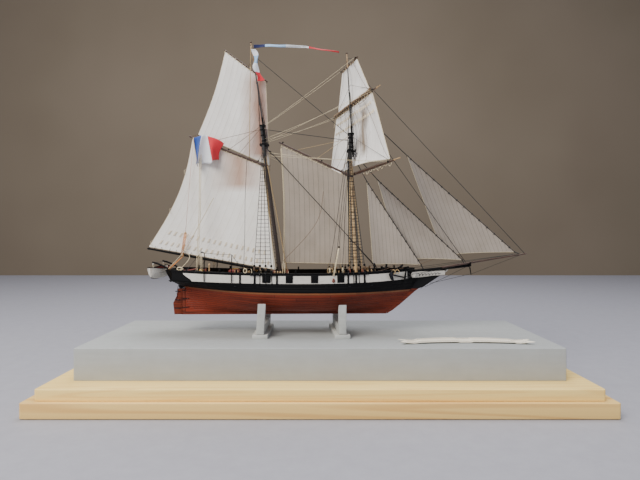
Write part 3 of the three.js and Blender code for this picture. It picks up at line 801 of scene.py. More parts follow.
def mast_finish(name, light, dark, black_from, black_to):
    """Varnished mast, painted black where it is doubled or hounded."""
    finish = Finish(name, 0.45, Coat_Weight=0.25, Coat_Roughness=0.3)
    g = finish.graph
    grain = finish.grain_of((1, 1, 0.05), light, dark, 220.0, 0.75)
    black = finish.paint_of((14, 14, 17), (40, 38, 38), 0.35, 240.0)
    height = g.add("ShaderNodeSeparateXYZ", {0: finish.object}).outputs[2]
    inside = g.times(g.math("GREATER_THAN", height, black_from * MM),
                    g.math("LESS_THAN", height, black_to * MM))
    tone = g.mix(inside, grain["Colour"], black["Colour"])
    finish.close(tone, 0.1, grain["Roughness"], grain["Height"], 0.02)


mast_finish("main_mast_finish", (44, 28, 21), (17, 11, 9), 262, 320)
mast_finish("fore_mast_finish", (206, 178, 132), (140, 104, 66), 262, 320)
mast_finish("topmast_finish", (178, 146, 106), (112, 80, 52), 200, 372)


BRAIL = [(4, -1.4, 226), (2.6, -2.0, 214), (0.8, -2.6, 202), (-3.4, -3.2, 191), (-9.6, -3.6, 181),
         (-16.8, -3.9, 172),
         (-24.6, -4.2, 163.4), (-32.8, -4.4, 154.8), (-40.6, -4.6, 147), (-43, -5.2, 144.2)]


def build_brail():
    """The slack brail that hangs in a bight across the foresail."""
    route = rounded([vec(*p) for p in BRAIL], 3)
    brail = cordage("foresail_brail", [route], 0.26 * MM, 6)
    fit_out(brail, "brown_line")


build_brail()


# ------------------------------------------------------------------ display base
def refined(node, name, bevel, body, finish, segments=2, angle=30):
    """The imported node's own solid with its edges eased."""
    piece = bpy.data.objects.new(name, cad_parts[node].data.copy())
    piece.data.transform(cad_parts[node].matrix_world)
    bpy.context.collection.objects.link(piece)
    pick(piece)
    bpy.ops.object.mode_set(mode="EDIT")
    bpy.ops.mesh.select_all(action="SELECT")
    bpy.ops.mesh.remove_doubles(threshold=1e-5)
    bpy.ops.mesh.dissolve_limited(angle_limit=math.radians(2))
    bpy.ops.mesh.normals_make_consistent(inside=False)
    bpy.ops.object.mode_set(mode="OBJECT")
    piece.data.materials.clear()
    soften(piece, bevel, segments, angle)
    return fit_out(piece, finish, body=body, replaces=(node,))


def build_base():
    """Two pine boards, the painted plinth, both cradles and the ribbon."""
    refined("base_board", "lower_board", 0.7 * MM, "stand", "pine_board", 3)
    refined("base_step", "upper_board", 0.9 * MM, "stand", "pine_step", 3)
    refined("plinth", "painted_plinth", 0.6 * MM, "stand", "plinth_grey", 3)
    for end in ("aft", "fore"):
        refined(f"cradle_{end}_foot", f"{end}_cradle_foot", 0.35 * MM, "stand", "cradle_grey")
        refined(f"cradle_{end}_frame", f"{end}_cradle_frame", 0.4 * MM, "stand", "cradle_grey")
        build_cradle_pegs(end)
    build_ribbon()


def build_cradle_pegs(end):
    """Two turned pegs hold each cradle's foot to the plinth, their heads just proud of it."""
    low, high = (Vector(c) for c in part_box(f"cradle_{end}_foot"))
    pegs = []
    for side in (STARBOARD, PORT):
        place = Vector(((low.x + high.x) / 2 + 0.2 * (high.x - low.x), side * 0.42 * (high.y - low.y),
                        high.z))
        peg = turned("peg", pairs((-0.6, 1.3), (0.3, 1.3), (0.5, 1.0)), 12)
        pegs.append(stand(peg, place, Z))
    fit_out(joined(f"{end}_cradle_pegs", pegs), "cradle_grey", body="stand")


def build_ribbon():
    """The blank paper ribbon: forked ends that curl up a little, with a ruled border."""
    low, high = (Vector(c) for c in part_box("name_ribbon"))
    bow, notch, rows, columns = 8 * MM, 6 * MM, 6, 48
    length, width = high.x - low.x, high.y - low.y - bow
    points, uvs = [], []
    for i in range(columns + 1):
        s = i / columns
        for j in range(rows + 1):
            t = j / rows
            inset = notch * (1 - abs(2 * t - 1))
            x = low.x + inset + (length - 2 * inset) * s
            y = low.y + width * t + bow * (1 - (2 * s - 1) ** 2)
            fold = 1.3 * MM if 0.12 < abs(2 * s - 1) < 0.74 else 0.0
            lift = 2.0 * MM * max(0, abs(2 * s - 1) - 0.8) / 0.2 + fold * 0.5
            wave = 1.6 * MM * t * (1 - (2 * s - 1) ** 2)
            points.append(Vector((x, y, high.z + 0.5 * MM + lift + wave)))
            uvs.append((x, width * t))
    ribbon = new_mesh("blank_ribbon", points, grid_faces(columns, rows), uvs)
    with_modifier(ribbon, "SOLIDIFY", thickness=0.5 * MM, offset=-1)
    fit_out(ribbon, "label_card", body="stand", replaces=("name_ribbon",))
    borders = []
    for t in (0.14, 0.86):
        row = [points[i * (rows + 1) + round(t * rows)] + vec(0, 0, 0.08) for i in range(2, columns - 1)]
        borders.append(row)
    rig("ribbon_border", borders, 0.18, "brown_line", sides=4, body="stand")


# ------------------------------------------------------------------ hull surface
def surface_of(*nodes):
    """The nodes' triangles as one tree to cast rays at."""
    points, faces = [], []
    for node in nodes:
        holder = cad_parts[node]
        first = len(points)
        points += [holder.matrix_world @ v.co for v in holder.data.vertices]
        faces += [tuple(first + i for i in p.vertices) for p in holder.data.polygons]
    return BVHTree.FromPolygons(points, faces)


HULL = surface_of("hull")
HULL_LOW, HULL_HIGH = (Vector(c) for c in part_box("hull"))
POST_HALF = 1.3 * MM           # half the thickness of keel, stem and sternpost
STATIONS, LEVELS = 110, 44


def blurred(table, passes):
    """Averages each inner number of a grid with its neighbours."""
    for _ in range(passes):
        old = [row[:] for row in table]
        for i in range(1, len(table) - 1):
            for j in range(1, len(table[0]) - 1):
                around = old[i - 1][j] + old[i + 1][j] + old[i][j - 1] + old[i][j + 1]
                table[i][j] = old[i][j] * 0.4 + around * 0.15
            table[i][-1] = old[i][-1] * 0.5 + (old[i - 1][-1] + old[i + 1][-1]) * 0.25
    return table


def hull_line(z, aft):
    """Where the hull's centreline profile stands at a height."""
    start = Vector((-0.3 if aft else 0.3, 0.8 * MM, z))
    hit = HULL.ray_cast(start, X if aft else -X)[0]
    return hit.x if hit else (HULL_LOW.x if aft else HULL_HIGH.x)


def deck_height(x):
    """The height of the hull's top beside its centreline."""
    hit = HULL.ray_cast(Vector((x, 2.5 * MM, HULL_HIGH.z + 0.01)), -Z)[0]
    return hit.z if hit else HULL_HIGH.z


def half_breadth(x, z):
    """Half the hull's width, never under the backbone's."""
    hit = HULL.ray_cast(Vector((x, 0.09, z)), -Y)[0]
    return max(hit.y, POST_HALF) if hit else POST_HALF


def hull_grid():
    """Port-side points of the fair hull, station by station from the stern, keel to deck edge."""
    keel_z = HULL_LOW.z + 0.15 * MM
    aft_top = deck_height(HULL_LOW.x + 0.8 * MM) - 0.05 * MM
    fore_top = deck_height(HULL_HIGH.x - 4 * MM) - 0.05 * MM
    grid = []
    for i in range(STATIONS + 1):
        s = i / STATIONS
        s = 0.6 * s + 0.4 * (0.5 - 0.5 * math.cos(math.pi * s))
        row = []
        for j in range(LEVELS + 1):
            t = j / LEVELS
            aft = hull_line(keel_z + (aft_top - keel_z) * t, True) + 0.02 * MM
            fore = hull_line(keel_z + (fore_top - keel_z) * t, False) - 0.02 * MM
            x = aft + (fore - aft) * s
            top = deck_height(min(max(x, HULL_LOW.x + 0.5 * MM), fore - 2 * MM)) - 0.05 * MM
            z = keel_z + (top - keel_z) * t
            row.append(Vector((x, half_breadth(x, z), z)))
        grid.append(row)
    for axis, passes in ((1, 5), (0, 2), (2, 3)):
        table = blurred([[p[axis] for p in row] for row in grid], passes)
        for row, values in zip(grid, table):
            for p, value in zip(row, values):
                p[axis] = value
    return grid


GRID = hull_grid()


def girth_of(points):
    """The distance along a section at each of its points."""
    run = [0.0]
    for a, b in zip(points, points[1:]):
        run.append(run[-1] + (b - a).length)
    return run


def along_girth(points, run, share):
    """The point at a share of a section's girth."""
    goal = share * run[-1]
    for k in range(len(run) - 1):
        if goal <= run[k + 1] or k == len(run) - 2:
            gap = run[k + 1] - run[k]
            return points[k].lerp(points[k + 1], min(max((goal - run[k]) / gap, 0), 1) if gap > 1e-9 else 0)


def hull_outward(i, point):
    """Roughly the outward direction of the port side at a station."""
    row = GRID[i]
    j = min(range(LEVELS + 1), key=lambda n: abs(row[n].z - point.z))
    a, b = row[max(j - 1, 0)], row[min(j + 1, LEVELS)]
    fore, aft = GRID[min(i + 1, STATIONS)], GRID[max(i - 1, 0)]
    out = (fore[j] - aft[j]).cross(b - a)
    out = -out if out.y < 0 else out
    return out.normalized() if out.length > 1e-9 else Y.copy()


def level_at(row, z):
    """The place on a station's section at a height."""
    for a, b in zip(row, row[1:]):
        if b.z >= z:
            return a.lerp(b, (z - a.z) / (b.z - a.z) if b.z - a.z > 1e-9 else 0)
    return row[-1].copy()


class Side:
    """The fair line of the deck edge, which bulwarks, rails, bands and channels follow."""

    def __init__(self):
        self.edge = [row[-1] for row in GRID]

    def at(self, x, up=0.0, out=0.0, side=PORT):
        """A point on the ship's side at a place along, a height above the deck edge and a distance out."""
        edge = self.edge
        k = next((n for n in range(len(edge) - 1) if edge[n + 1].x >= x), len(edge) - 2)
        a, b = edge[k], edge[k + 1]
        t = (x - a.x) / (b.x - a.x) if b.x > a.x else 0
        place = a.lerp(b, t)
        tumble = 0.05 * max(up, 0)
        return Vector((x, side * (place.y - tumble + out), place.z + up))

    def heading(self, x, side=PORT):
        step = 4 * MM
        return (self.at(x + step, side=side) - self.at(x - step, side=side)).normalized()


SIDE = Side()
BAND_LOW, BAND_HIGH = 0.2 * MM, 9.2 * MM       # the white band above the deck edge
RAIL_HIGH = 12.2 * MM
WALE_LOW, WALE_FORE, WALE_AFT = 110.0 * MM, 111.0 * MM, 115.7 * MM     # the wale's lower edge
TAN_WIDE = 2.4 * MM                             # the light strake below the wale
STRAKES = 11
JOINT, EDGE, CREST = -1, 0, 1                   # where a point stands on the section of a plank
SIDE_END_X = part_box("bulwark_port")[1][0]


def strip(name, xs, section, side):
    """A closed strip along the ship's side; section(x) gives (up, out) pairs round it."""
    points, faces, uvs = [], [], []
    count = len(section(xs[0]))
    for x in xs:
        for k, (up, out) in enumerate(section(x)):
            points.append(SIDE.at(x, up, out, side))
            uvs.append((x, k))
    for i in range(len(xs) - 1):
        for k in range(count):
            n = (k + 1) % count
            a, b = i * count, (i + 1) * count
            faces.append((a + k, a + n, b + n, b + k))
    faces += [tuple(range(count)), tuple(reversed(range(len(points) - count, len(points))))]
    piece = new_mesh(name, points, faces, uvs)
    recalculate(piece)
    smooth(piece, 40)
    return piece


def wale_edge(x):
    """The height of the wale's lower edge: nearly straight forward, sweeping up to the counter aft."""
    if x > 0:
        return WALE_LOW + (WALE_FORE - WALE_LOW) * (x / (115 * MM)) ** 2
    return WALE_LOW + (WALE_AFT - WALE_LOW) * (-x / (168 * MM)) ** 2.6


def build_planking():
    """Strakes of equal girth from the keel to the wale, with a V joint between each."""
    joint, depth = 0.09, 0.28 * MM
    shares = []
    for k in range(STRAKES):
        shares += [(k + joint, EDGE), (k + 0.36, CREST), (k + 0.64, CREST), (k + 1 - joint, EDGE),
                   (k + 1.0, JOINT)]
    for part, finish, proud in (("bottom_planking", "hull_planks", 0.0),
                                ("light_strake", "tan_strake", 0.05 * MM),
                                ("wale", "black_paint", 0.45 * MM)):
        points, faces, uvs = [], [], []
        if part == "bottom_planking":
            rows = [(0.0, JOINT), *shares]
        elif part == "wale":
            rows = [(0, JOINT), (0.02, EDGE), (0.32, EDGE), (0.335, JOINT), (0.35, EDGE), (0.65, EDGE),
                    (0.665, JOINT), (0.68, EDGE), (0.97, EDGE), (1, JOINT)]
        else:
            rows = [(0, JOINT), (0.1, EDGE), (0.9, EDGE), (1, JOINT)]
        span = STRAKES if part == "bottom_planking" else 1
        for side in (PORT, STARBOARD):
            first = len(points)
            for i, row in enumerate(GRID):
                high = row[-1].z
                wale = min(wale_edge(row[-1].x), high - 1.2 * MM)
                tan = max(wale - TAN_WIDE, row[0].z + 1 * MM)
                low_z, high_z = {"bottom_planking": (None, tan), "light_strake": (tan, wale),
                                 "wale": (wale, None)}[part]
                section = [p for p in row if (low_z or 0) + 1e-5 < p.z < (high_z or 1) - 1e-5]
                section = section if low_z is None else [level_at(row, low_z), *section]
                section = section if high_z is None else [*section, level_at(row, high_z)]
                run = girth_of(section)
                for share, kind in rows:
                    place = along_girth(section, run, share / span)
                    out = hull_outward(i, place)
                    lift = proud
                    if kind == JOINT:
                        lift -= depth * (0.5 if proud else 1)
                    elif kind == EDGE and part == "bottom_planking":
                        lift -= 0.05 * MM
                    place = place + out * lift
                    place.y = max(place.y, POST_HALF * 0.96)
                    if part == "bottom_planking" and share == 0:
                        place.z -= 0.6 * MM
                    points.append(Vector((place.x, side * place.y, place.z)))
                    uvs.append((place.x, share + (20 if side == PORT else 0)))
            faces += grid_faces(STATIONS, len(rows) - 1, first, side == PORT)
        piece = new_mesh(part, points, faces, uvs)
        with_modifier(piece, "SOLIDIFY", thickness=0.7 * MM, offset=-1)
        smooth(piece, 55)
        fit_out(piece, finish,
                replaces=("hull",) if part == "bottom_planking" else ())


def build_counter():
    """The flat lower transom under the taffrail, which closes the planking at the stern."""
    lower = [p for p in GRID[0] if p.z > GRID[0][-1].z - 6.5 * MM]
    points = [Vector((p.x - 0.4 * MM, side * (p.y + 0.3 * MM), p.z)) for p in lower
              for side in (PORT, STARBOARD)]
    piece = new_mesh("counter", points, grid_faces(len(lower) - 1, 1, flip=True))
    with_modifier(piece, "SOLIDIFY", thickness=1.2 * MM, offset=0)
    recalculate(piece)
    soften(piece, 0.2 * MM)
    fit_out(piece, "black_paint")


def build_deck():
    """Deck planks laid fore and aft inside the bulwarks, with camber and a dark waterway along each side."""
    low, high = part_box("deck")
    xs, across = stretch(low[0], high[0], 90), 36
    points, uvs = [], []
    for x in xs:
        half = max(SIDE.at(x).y - 2.0 * MM, 0.8 * MM)
        z = SIDE.at(x).z + 1.15 * MM
        for k in range(across + 1):
            t = 2 * k / across - 1
            points.append(Vector((x, half * t, z + 0.35 * MM * (1 - t * t))))
            uvs.append((x, half * t / (1.9 * MM) + 60))
    piece = new_mesh("deck_planking", points, grid_faces(len(xs) - 1, across), uvs)
    with_modifier(piece, "SOLIDIFY", thickness=0.8 * MM, offset=-1)
    smooth(piece, 30)
    fit_out(piece, "deck_planks", replaces=("deck",))
    for side, label in SIDE_NAMES.items():
        waterway = strip("waterway_" + label, stretch(low[0] + 2 * MM, high[0] - 2 * MM, 60),
                         lambda x: pairs((1.1, -1.2), (2.2, -1.2), (1.5, -3.2), (1.1, -3.2)),
                         side)
        fit_out(waterway, "varnished_trim")


LIDS = ((-59.3, 9.4), (-34, 8), (-6, 8), (23, 8))          # gun port lids: middle and width, millimetres


def band_start(up):
    """The white band's S-shaped aft end: further aft the higher it is."""
    share = (up - BAND_LOW) / (BAND_HIGH - BAND_LOW)
    return (-143.5 - 10.5 * (3 * share ** 2 - 2 * share ** 3)) * MM


def build_sides():
    """Bulwarks, painted band, rail caps, stanchions and port lids."""
    for side, label in SIDE_NAMES.items():
        aft_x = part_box("bulwark_" + label)[0][0]
        wall = strip("bulwark_planking_" + label, stretch(aft_x, SIDE_END_X, 90),
                     lambda x: pairs((0.2, 0.35), (0.5, 0.5), (0.6, 0.0), (9.6, 0.0), (9.7, 0.45),
                                     (11.0, 0.45), (11.0, -1.5), (0.2, -1.5)), side)
        fit_out(wall, "black_paint", replaces=("bulwark_" + label,))
        build_band(side, label)
        cap = strip("rail_cap_" + label, stretch(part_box("rail_" + label)[0][0], SIDE_END_X, 90),
                    lambda x: [(11.0 * MM, 0.7 * MM), (11.3 * MM, 0.95 * MM), (11.9 * MM, 0.95 * MM),
                               (RAIL_HIGH, 0.7 * MM), (RAIL_HIGH, -2.9 * MM), (11.9 * MM, -3.1 * MM),
                               (11.2 * MM, -3.1 * MM), (11.0 * MM, -2.9 * MM)], side)
        fit_out(cap, "black_paint", replaces=("rail_" + label,))
        inner = []
        for x in stretch(-150 * MM, 98 * MM, 22):
            foot = SIDE.at(x, 1.4 * MM, -2.3 * MM, side)
            stanchion = block("stanchion", vec(1.6, 1.5, 9.8), vec(0, 0, 4.9), bevel=0.15 * MM)
            inner.append(stand(stanchion, foot, Z, Y))
        fit_out(joined("stanchions_" + label, inner), "black_paint")
        build_lids(side, label)


def build_band(side, label):
    """The white painted band, a thin skin over the bulwark with a shaped aft end."""
    levels = stretch(BAND_LOW, BAND_HIGH, 10)
    columns = 96
    points = []
    for k in range(columns + 1):
        for up in levels:
            start = band_start(up)
            x = start + (101 * MM - start) * k / columns
            points.append(SIDE.at(x, up, 0.28 * MM, side))
    piece = new_mesh("white_band_" + label, points, grid_faces(columns, len(levels) - 1, flip=side == PORT))
    with_modifier(piece, "SOLIDIFY", thickness=0.3 * MM, offset=-1)
    smooth(piece, 40)
    fit_out(piece, "white_paint")


def build_lids(side, label):
    """Black port lids, each with two strap hinges."""
    parts = []
    for middle_x, width in LIDS:
        place = SIDE.at(middle_x * MM, 5.9 * MM, 0.55 * MM, side)
        out = SIDE.heading(middle_x * MM, side).cross(Z) * side
        out = -out if out.y * side < 0 else out
        matrix = facing(place, out, SIDE.heading(middle_x * MM, side))
        lid = block("lid", vec(9.0, width, 0.8), bevel=0.2 * MM)
        lid.data.transform(matrix)
        parts.append(lid)
        for shift in (-0.28, 0.28):
            strap = block("strap", vec(6.4, 0.9, 0.35), bevel=0.1 * MM)
            strap.data.transform(matrix @ Matrix.Translation((0.6 * MM, shift * width * MM, 0.55 * MM)))
            parts.append(strap)
    fit_out(joined("port_lids_" + label, parts), "black_paint")


def build_stern():
    """The transom with its moulded frame and two small windows, and the taffrail on top."""
    low, high = (Vector(c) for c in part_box("transom"))
    refined("transom", "transom_board", 0.3 * MM, "ship", "black_paint")
    surface = surface_of("transom")
    def on_board(y, z, out=0.2 * MM):
        hit = surface.ray_cast(Vector((-0.3, y, z)), X)[0]
        return (hit if hit else Vector((low.x, y, z))) - X * out
    frame_lines = []
    for y0, y1 in ((-15, -6), (6, 15)):
        ring = []
        for y, z in ((y0, 3.2), (y1, 3.2), (y1, 7.6), (y0, 7.6), (y0, 3.2)):
            ring.append(on_board(y * MM, low.z + z * MM))
        frame_lines.append(ring)
    moulding = [on_board(y * MM, high.z - 1.2 * MM) for y in stretch(-25, 25, 16)]
    rig("transom_mouldings", [*frame_lines, moulding], 0.35, "white_paint", sides=6)
    rail_line = [on_board(y * MM, high.z, 0.0) + vec(0.6, 0, 0.3) for y in stretch(-26.4, 26.4, 20)]
    rig("taffrail", [rail_line], 0.9, "black_paint", sides=8)


def build_backbone():
    """Keel, stem and rudder, and the straps between rudder and post."""
    refined("keel", "keel_and_sternpost", 0.25 * MM, "ship", "hull_backbone")
    refined("stem", "stem_and_knee", 0.25 * MM, "ship", "hull_backbone")
    refined("rudder", "rudder_blade", 0.25 * MM, "steering", "hull_backbone")
    build_rudder_straps()


def build_rudder_straps():
    """Iron straps across post and blade: three pintles on the rudder, three gudgeons on the post."""
    heights = (88 * MM, 98 * MM, 108 * MM)
    for body, name, reach, shift, lift in (("steering", "pintles", (-1.2, -7.5), 1.35, 0.0),
                                           ("ship", "gudgeons", (1.4, 9.5), 1.75, 1.5)):
        straps = []
        for z in heights:
            for side in (STARBOARD, PORT):
                start = Vector((RUDDER_AXIS + reach[0] * MM, side * shift * MM, z + lift * MM))
                end = Vector((RUDDER_AXIS + reach[1] * MM, side * shift * MM, z + lift * MM + 0.3 * MM))
                straps.append(cordage("strap", [stretch_points(start, end, 4)], 0.42 * MM, 6))
            pin = turned("pin", pairs((-1.2, 0.45), (1.2, 0.45)), 8)
            straps.append(stand(pin, Vector((RUDDER_AXIS, 0, z + lift * MM)), Z))
        fit_out(joined(name, straps), "iron", body=body)
    chain = rounded([vec(-166.5, -2.2, 116.5), vec(-168.2, -2.4, 108), vec(-168.5, -1.9, 102),
                     vec(-170.3, -1.4, 98)])
    piece = cordage("rudder_chain", [chain], 0.3 * MM, 5)
    piece.data.materials.append(FINISHES["iron"])
    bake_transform(piece)


def build_head():
    """The white head boards with a carved black wave, the head rails and a scroll at the beak."""
    for side, label in SIDE_NAMES.items():
        refined("head_board_" + label, "head_board_panel_" + label, 0.3 * MM, "ship", "white_paint")
        surface = surface_of("head_board_" + label)
        low, high = (Vector(c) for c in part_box("head_board_" + label))
        def on_board(x, z, out=0.12 * MM):
            hit = surface.ray_cast(Vector((x, side * 0.09, z)), -side * Y)[0]
            return hit + side * Y * out if hit else None
        waves = []
        for start in stretch(low.x + 8 * MM, high.x - 9 * MM, 6):
            share = (start - low.x) / (high.x - low.x)
            centre = 127.8 * MM + 2.6 * MM * share - 0.6 * MM
            size = (2.1 - 1.0 * share) * MM
            curl = [on_board(start + 3.6 * MM * t + size * 0.5 * math.sin(6.5 * t),
                             centre + size * math.cos(6.5 * t) * (1 - 0.75 * t)) for t in stretch(0, 1, 16)]
            curl = [p for p in curl if p]
            if len(curl) > 4:
                waves.append(curl)
        rig("head_carving_" + label, waves, 0.28, "black_paint")
        rails = []
        for low_up, high_up, radius in ((124.2, 128.4, 0.5), (131.9, 133.4, 0.45)):
            ends = [Vector((104 * MM, side * (SIDE.at(104 * MM).y + 0.8 * MM), low_up * MM)),
                    vec(118, side * 6.2, low_up + 0.6),
                    vec(132, side * 3.6, (low_up + high_up) / 2),
                    vec(147.5, side * 1.9, high_up)]
            rails.append(cordage("rail", [rounded(ends)], radius * MM, 8))
        fit_out(joined("head_rails_" + label, rails), "black_paint")
        cathead = block("cathead_" + label, vec(13, 2.2, 2.2), vec(6.5, 0, 0), bevel=0.25 * MM)
        foot = SIDE.at(96 * MM, 12.6 * MM, -6 * MM, side)
        aim = Vector((0.35, side * 0.9, 0.16)).normalized()
        cathead.data.transform(facing(foot, aim) @ Matrix.Rotation(-math.pi / 2, 4, "Y"))
        fit_out(cathead, "black_paint")
    scroll = [vec(147.5, 0, 131), vec(149.5, 0, 132.5), vec(150.6, 0, 134.2), vec(149.2, 0, 135.4),
              vec(147.8, 0, 134.6), vec(148.4, 0, 133.6)]
    rig("beak_scroll", [rounded(scroll)], 0.8, "white_paint", sides=8)


# ------------------------------------------------------------------ masts and spars
def taper(first, last, swell=0.0):
    """The radius along a spar: from one end to the other, fuller in the middle by a share."""
    return lambda s: (first + (last - first) * s) * (1 + swell * math.sin(math.pi * s)) * MM


def spar(name, node, along, radii, swell, body, finish, bands=(), sides=14):
    """A turned spar between the ends of its node, with raised bands at shares of its length."""
    start, end = spar_ends(node, along)
    length = (end - start).length
    stations = banded(length, taper(*radii, swell), [b * length for b in bands])
    stations = [(0.0, stations[0][1] * 0.6), (0.5 * MM, stations[0][1]), *stations[1:-1],
                (length - 0.5 * MM, stations[-1][1]), (length, stations[-1][1] * 0.6)]
    piece = turned(name, stations, sides)
    stand(piece, start, end - start, Y)
    return fit_out(piece, finish, body=body, replaces=(node,))


class Mast:
    """Where a mast stands: its lower mast, its topmast and the top between them."""

    def __init__(self, label):
        self.label = label
        self.foot, self.cap = spar_ends(f"{label}_lower_mast", Z)
        self.heel, self.truck = spar_ends(f"{label}_topmast", Z)
        self.top = middle(f"{label}_top")

    def at(self, z, ahead=0.0, out=0.0):
        """A point beside the lower mast at a height."""
        t = (z - self.foot.z) / (self.cap.z - self.foot.z)
        return self.foot.lerp(self.cap, t) + Vector((ahead, out, 0))

    def upper(self, z, ahead=0.0, out=0.0):
        """A point beside the topmast at a height."""
        t = (z - self.heel.z) / (self.truck.z - self.heel.z)
        place = self.heel.lerp(self.truck, t)
        bow = 1.2 * MM * math.sin(math.pi * t)
        return place + Vector((ahead + bow, out, 0))


MAIN, FORE = Mast("main"), Mast("fore")
CAP_WIDE = 3.4 * MM


def build_masts():
    """Both lower masts and topmasts with their tops, coats, pins and hoops."""
    for mast, lower_finish in ((MAIN, "main_mast_finish"), (FORE, "fore_mast_finish")):
        spar(f"{mast.label}_lower_mast_spar", f"{mast.label}_lower_mast", Z, (2.3, 1.5), 0.04, "ship",
             lower_finish, (0.045, 0.3, 0.55, 0.8), 18)
        rise = mast.truck - mast.heel
        length = rise.length
        share = (mast.cap.z - mast.heel.z) / rise.z
        heel = turned("heel", banded(length * (share + 0.07), taper(1.25, 1.15), [length * share * 0.9]),
                      14)
        stand(heel, mast.heel, rise, Y)
        fit_out(heel, "black_paint")
        heel.name = f"{mast.label}_topmast_heel"
        spar(f"{mast.label}_topmast_spar", f"{mast.label}_topmast", Z, (1.1, 0.55), 0.05, "ship",
             "topmast_finish", (0.62, 0.88))
        truck = turned("truck", pairs((0, 0.5), (0.3, 1.2), (0.9, 1.25), (1.3, 0.4)))
        fit_out(stand(truck, mast.truck, rise), "dark_spar")
        truck.name = f"{mast.label}_truck"
        build_top(mast)
        build_mast_coat(mast)
        build_hoops(mast)


def build_top(mast):
    """Trestletrees along the mast, crosstrees across it, the cap that joins both spars, and its bolsters."""
    node = f"{mast.label}_top"
    low, high = (Vector(c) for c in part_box(node))
    z = (low.z + high.z) / 2
    centre = (low + high) / 2
    parts = []
    for side in (STARBOARD, PORT):
        parts.append(block("trestletree", (high.x - low.x, 1.3 * MM, 1.8 * MM),
                           (centre.x, side * 2.4 * MM, z)))
    for x in (low.x + 1.0 * MM, high.x - 1.0 * MM):
        parts.append(block("crosstree", (1.4 * MM, high.y - low.y, 1.2 * MM), (x, 0, z + 0.9 * MM)))
    for side in (STARBOARD, PORT):
        bolster = turned("bolster", pairs((-2.6, 0.8), (2.6, 0.8)), 10)
        parts.append(stand(bolster, (centre.x - 0.6 * MM, side * 2.6 * MM, z + 1.6 * MM), X))
    fit_out(joined(f"{mast.label}_crosstrees", parts), "black_paint", replaces=(node,))
    middle_x = (mast.cap.x + mast.upper(mast.cap.z).x) / 2
    cap = block(f"{mast.label}_cap", (7.4 * MM, CAP_WIDE, 2.2 * MM), (middle_x, 0, mast.cap.z - 0.9 * MM),
                bevel=0.5 * MM)
    fit_out(cap, "black_paint")
    keeps = []
    for z in stretch(mast.top.z + 5 * MM, mast.cap.z - 6 * MM, 2):
        band = turned("band", pairs((-0.8, 2.0), (0.8, 2.0)), 16)
        keeps.append(stand(band, mast.at(z), mast.cap - mast.foot))
        lashing = block("keep", vec(3.4, 2.4, 1.2), (mast.at(z).x + 2.4 * MM, 0, z), bevel=0.3 * MM)
        keeps.append(lashing)
    fit_out(joined(f"{mast.label}_masthead_bands", keeps), "black_paint")


def build_mast_coat(mast):
    """The canvas coat and wedges where the mast goes through the deck, and its ring of belaying pins."""
    foot = mast.foot
    coat = turned(f"{mast.label}_mast_coat", pairs((0, 4.0), (0.8, 3.9), (1.6, 3.0), (2.4, 2.5)), 18)
    fit_out(stand(coat, foot + Z * 0.1 * MM, Z), "black_paint")
    parts, pins = [], []
    for ahead in (-7.5, 7.5):
        x = foot.x + ahead * MM
        for side in (STARBOARD, PORT):
            post = block("bitt", vec(1.6, 1.6, 12.5), (x, side * 6.5 * MM, foot.z + 6.2 * MM))
            parts.append(post)
        parts.append(block("bitt_rail", vec(1.6, 17, 1.3), (x, 0, foot.z + 9.6 * MM)))
        for y in (-4.6, 4.6) if mast is MAIN and ahead < 0 else (-4.6, -2.3, 0, 2.3, 4.6):
            pin = belaying_pin()
            pin.data.transform(Matrix.Translation((x, y * MM, foot.z + 9.6 * MM)))
            pins.append(pin)
    fit_out(joined(f"{mast.label}_fife_rails", parts), "varnished_trim")
    fit_out(joined(f"{mast.label}_fife_pins", pins), "light_spar")


def belaying_pin():
    """One turned pin."""
    return turned("pin", pairs((-2.6, 0.3), (-0.2, 0.38), (0.4, 0.42), (0.7, 0.62), (2.0, 0.5), (2.6, 0.2)),
                  8)


def build_hoops(mast):
    """Wooden hoops that carry the luff up the mast."""
    low = 142 * MM if mast is MAIN else 148 * MM
    high = 252 * MM if mast is MAIN else 238 * MM
    rings = []
    axis = (mast.cap - mast.foot).normalized()
    for z in stretch(low, high, 10):
        matrix = facing(mast.at(z), axis)
        radius = (3.0 - 0.6 * (z - low) / (high - low)) * MM
        rings.append(loop_of(matrix, radius, radius, count=20))
    body = "main_spars" if mast is MAIN else "ship"
    rig(f"{mast.label}_mast_hoops", rings, 0.35, "dark_spar", body=body)


def build_head_spars():
    """Bowsprit, jib-boom, dolphin striker and the cap that joins them."""
    spar("bowsprit_spar", "bowsprit", X, (2.1, 1.6), 0.03, "ship", "black_paint",
         (0.3, 0.62, 0.97), 18)
    spar("jib_boom_spar", "jib_boom", X, (1.15, 0.7), 0.08, "ship", "dark_spar",
         (0.2, 0.38, 0.985))
    refined("dolphin_striker", "dolphin_striker_spar", 0.15 * MM, "ship", "black_paint")
    start, end = spar_ends("bowsprit", X)
    boom_start, boom_end = spar_ends("jib_boom", X)
    cap_place = start.lerp(end, 0.98)
    side = boom_start.lerp(boom_end, (cap_place.x - boom_start.x) / (boom_end.x - boom_start.x))
    cap = block("bowsprit_cap", vec(1.8, 7.2, 4.6), (cap_place + side) / 2, bevel=0.5 * MM)
    fit_out(cap, "black_paint")


def jaws(name, node, body, radius):
    """The two cheeks that hold a gaff or boom to its mast."""
    start, end = spar_ends(node, -X)
    aim = (end - start).normalized()
    parts = []
    for side in (STARBOARD, PORT):
        turn = Matrix.Translation(start + aim * 1.2 * MM
                                  + Y * side * (radius + 0.6 * MM)) @ X.rotation_difference(
            -aim).to_matrix().to_4x4()
        cheek = block("cheek", vec(11, 1.0, 2.6), bevel=0.3 * MM)
        cheek.data.transform(turn)
        parts.append(cheek)
    fit_out(joined(name, parts), "dark_spar", body=body)


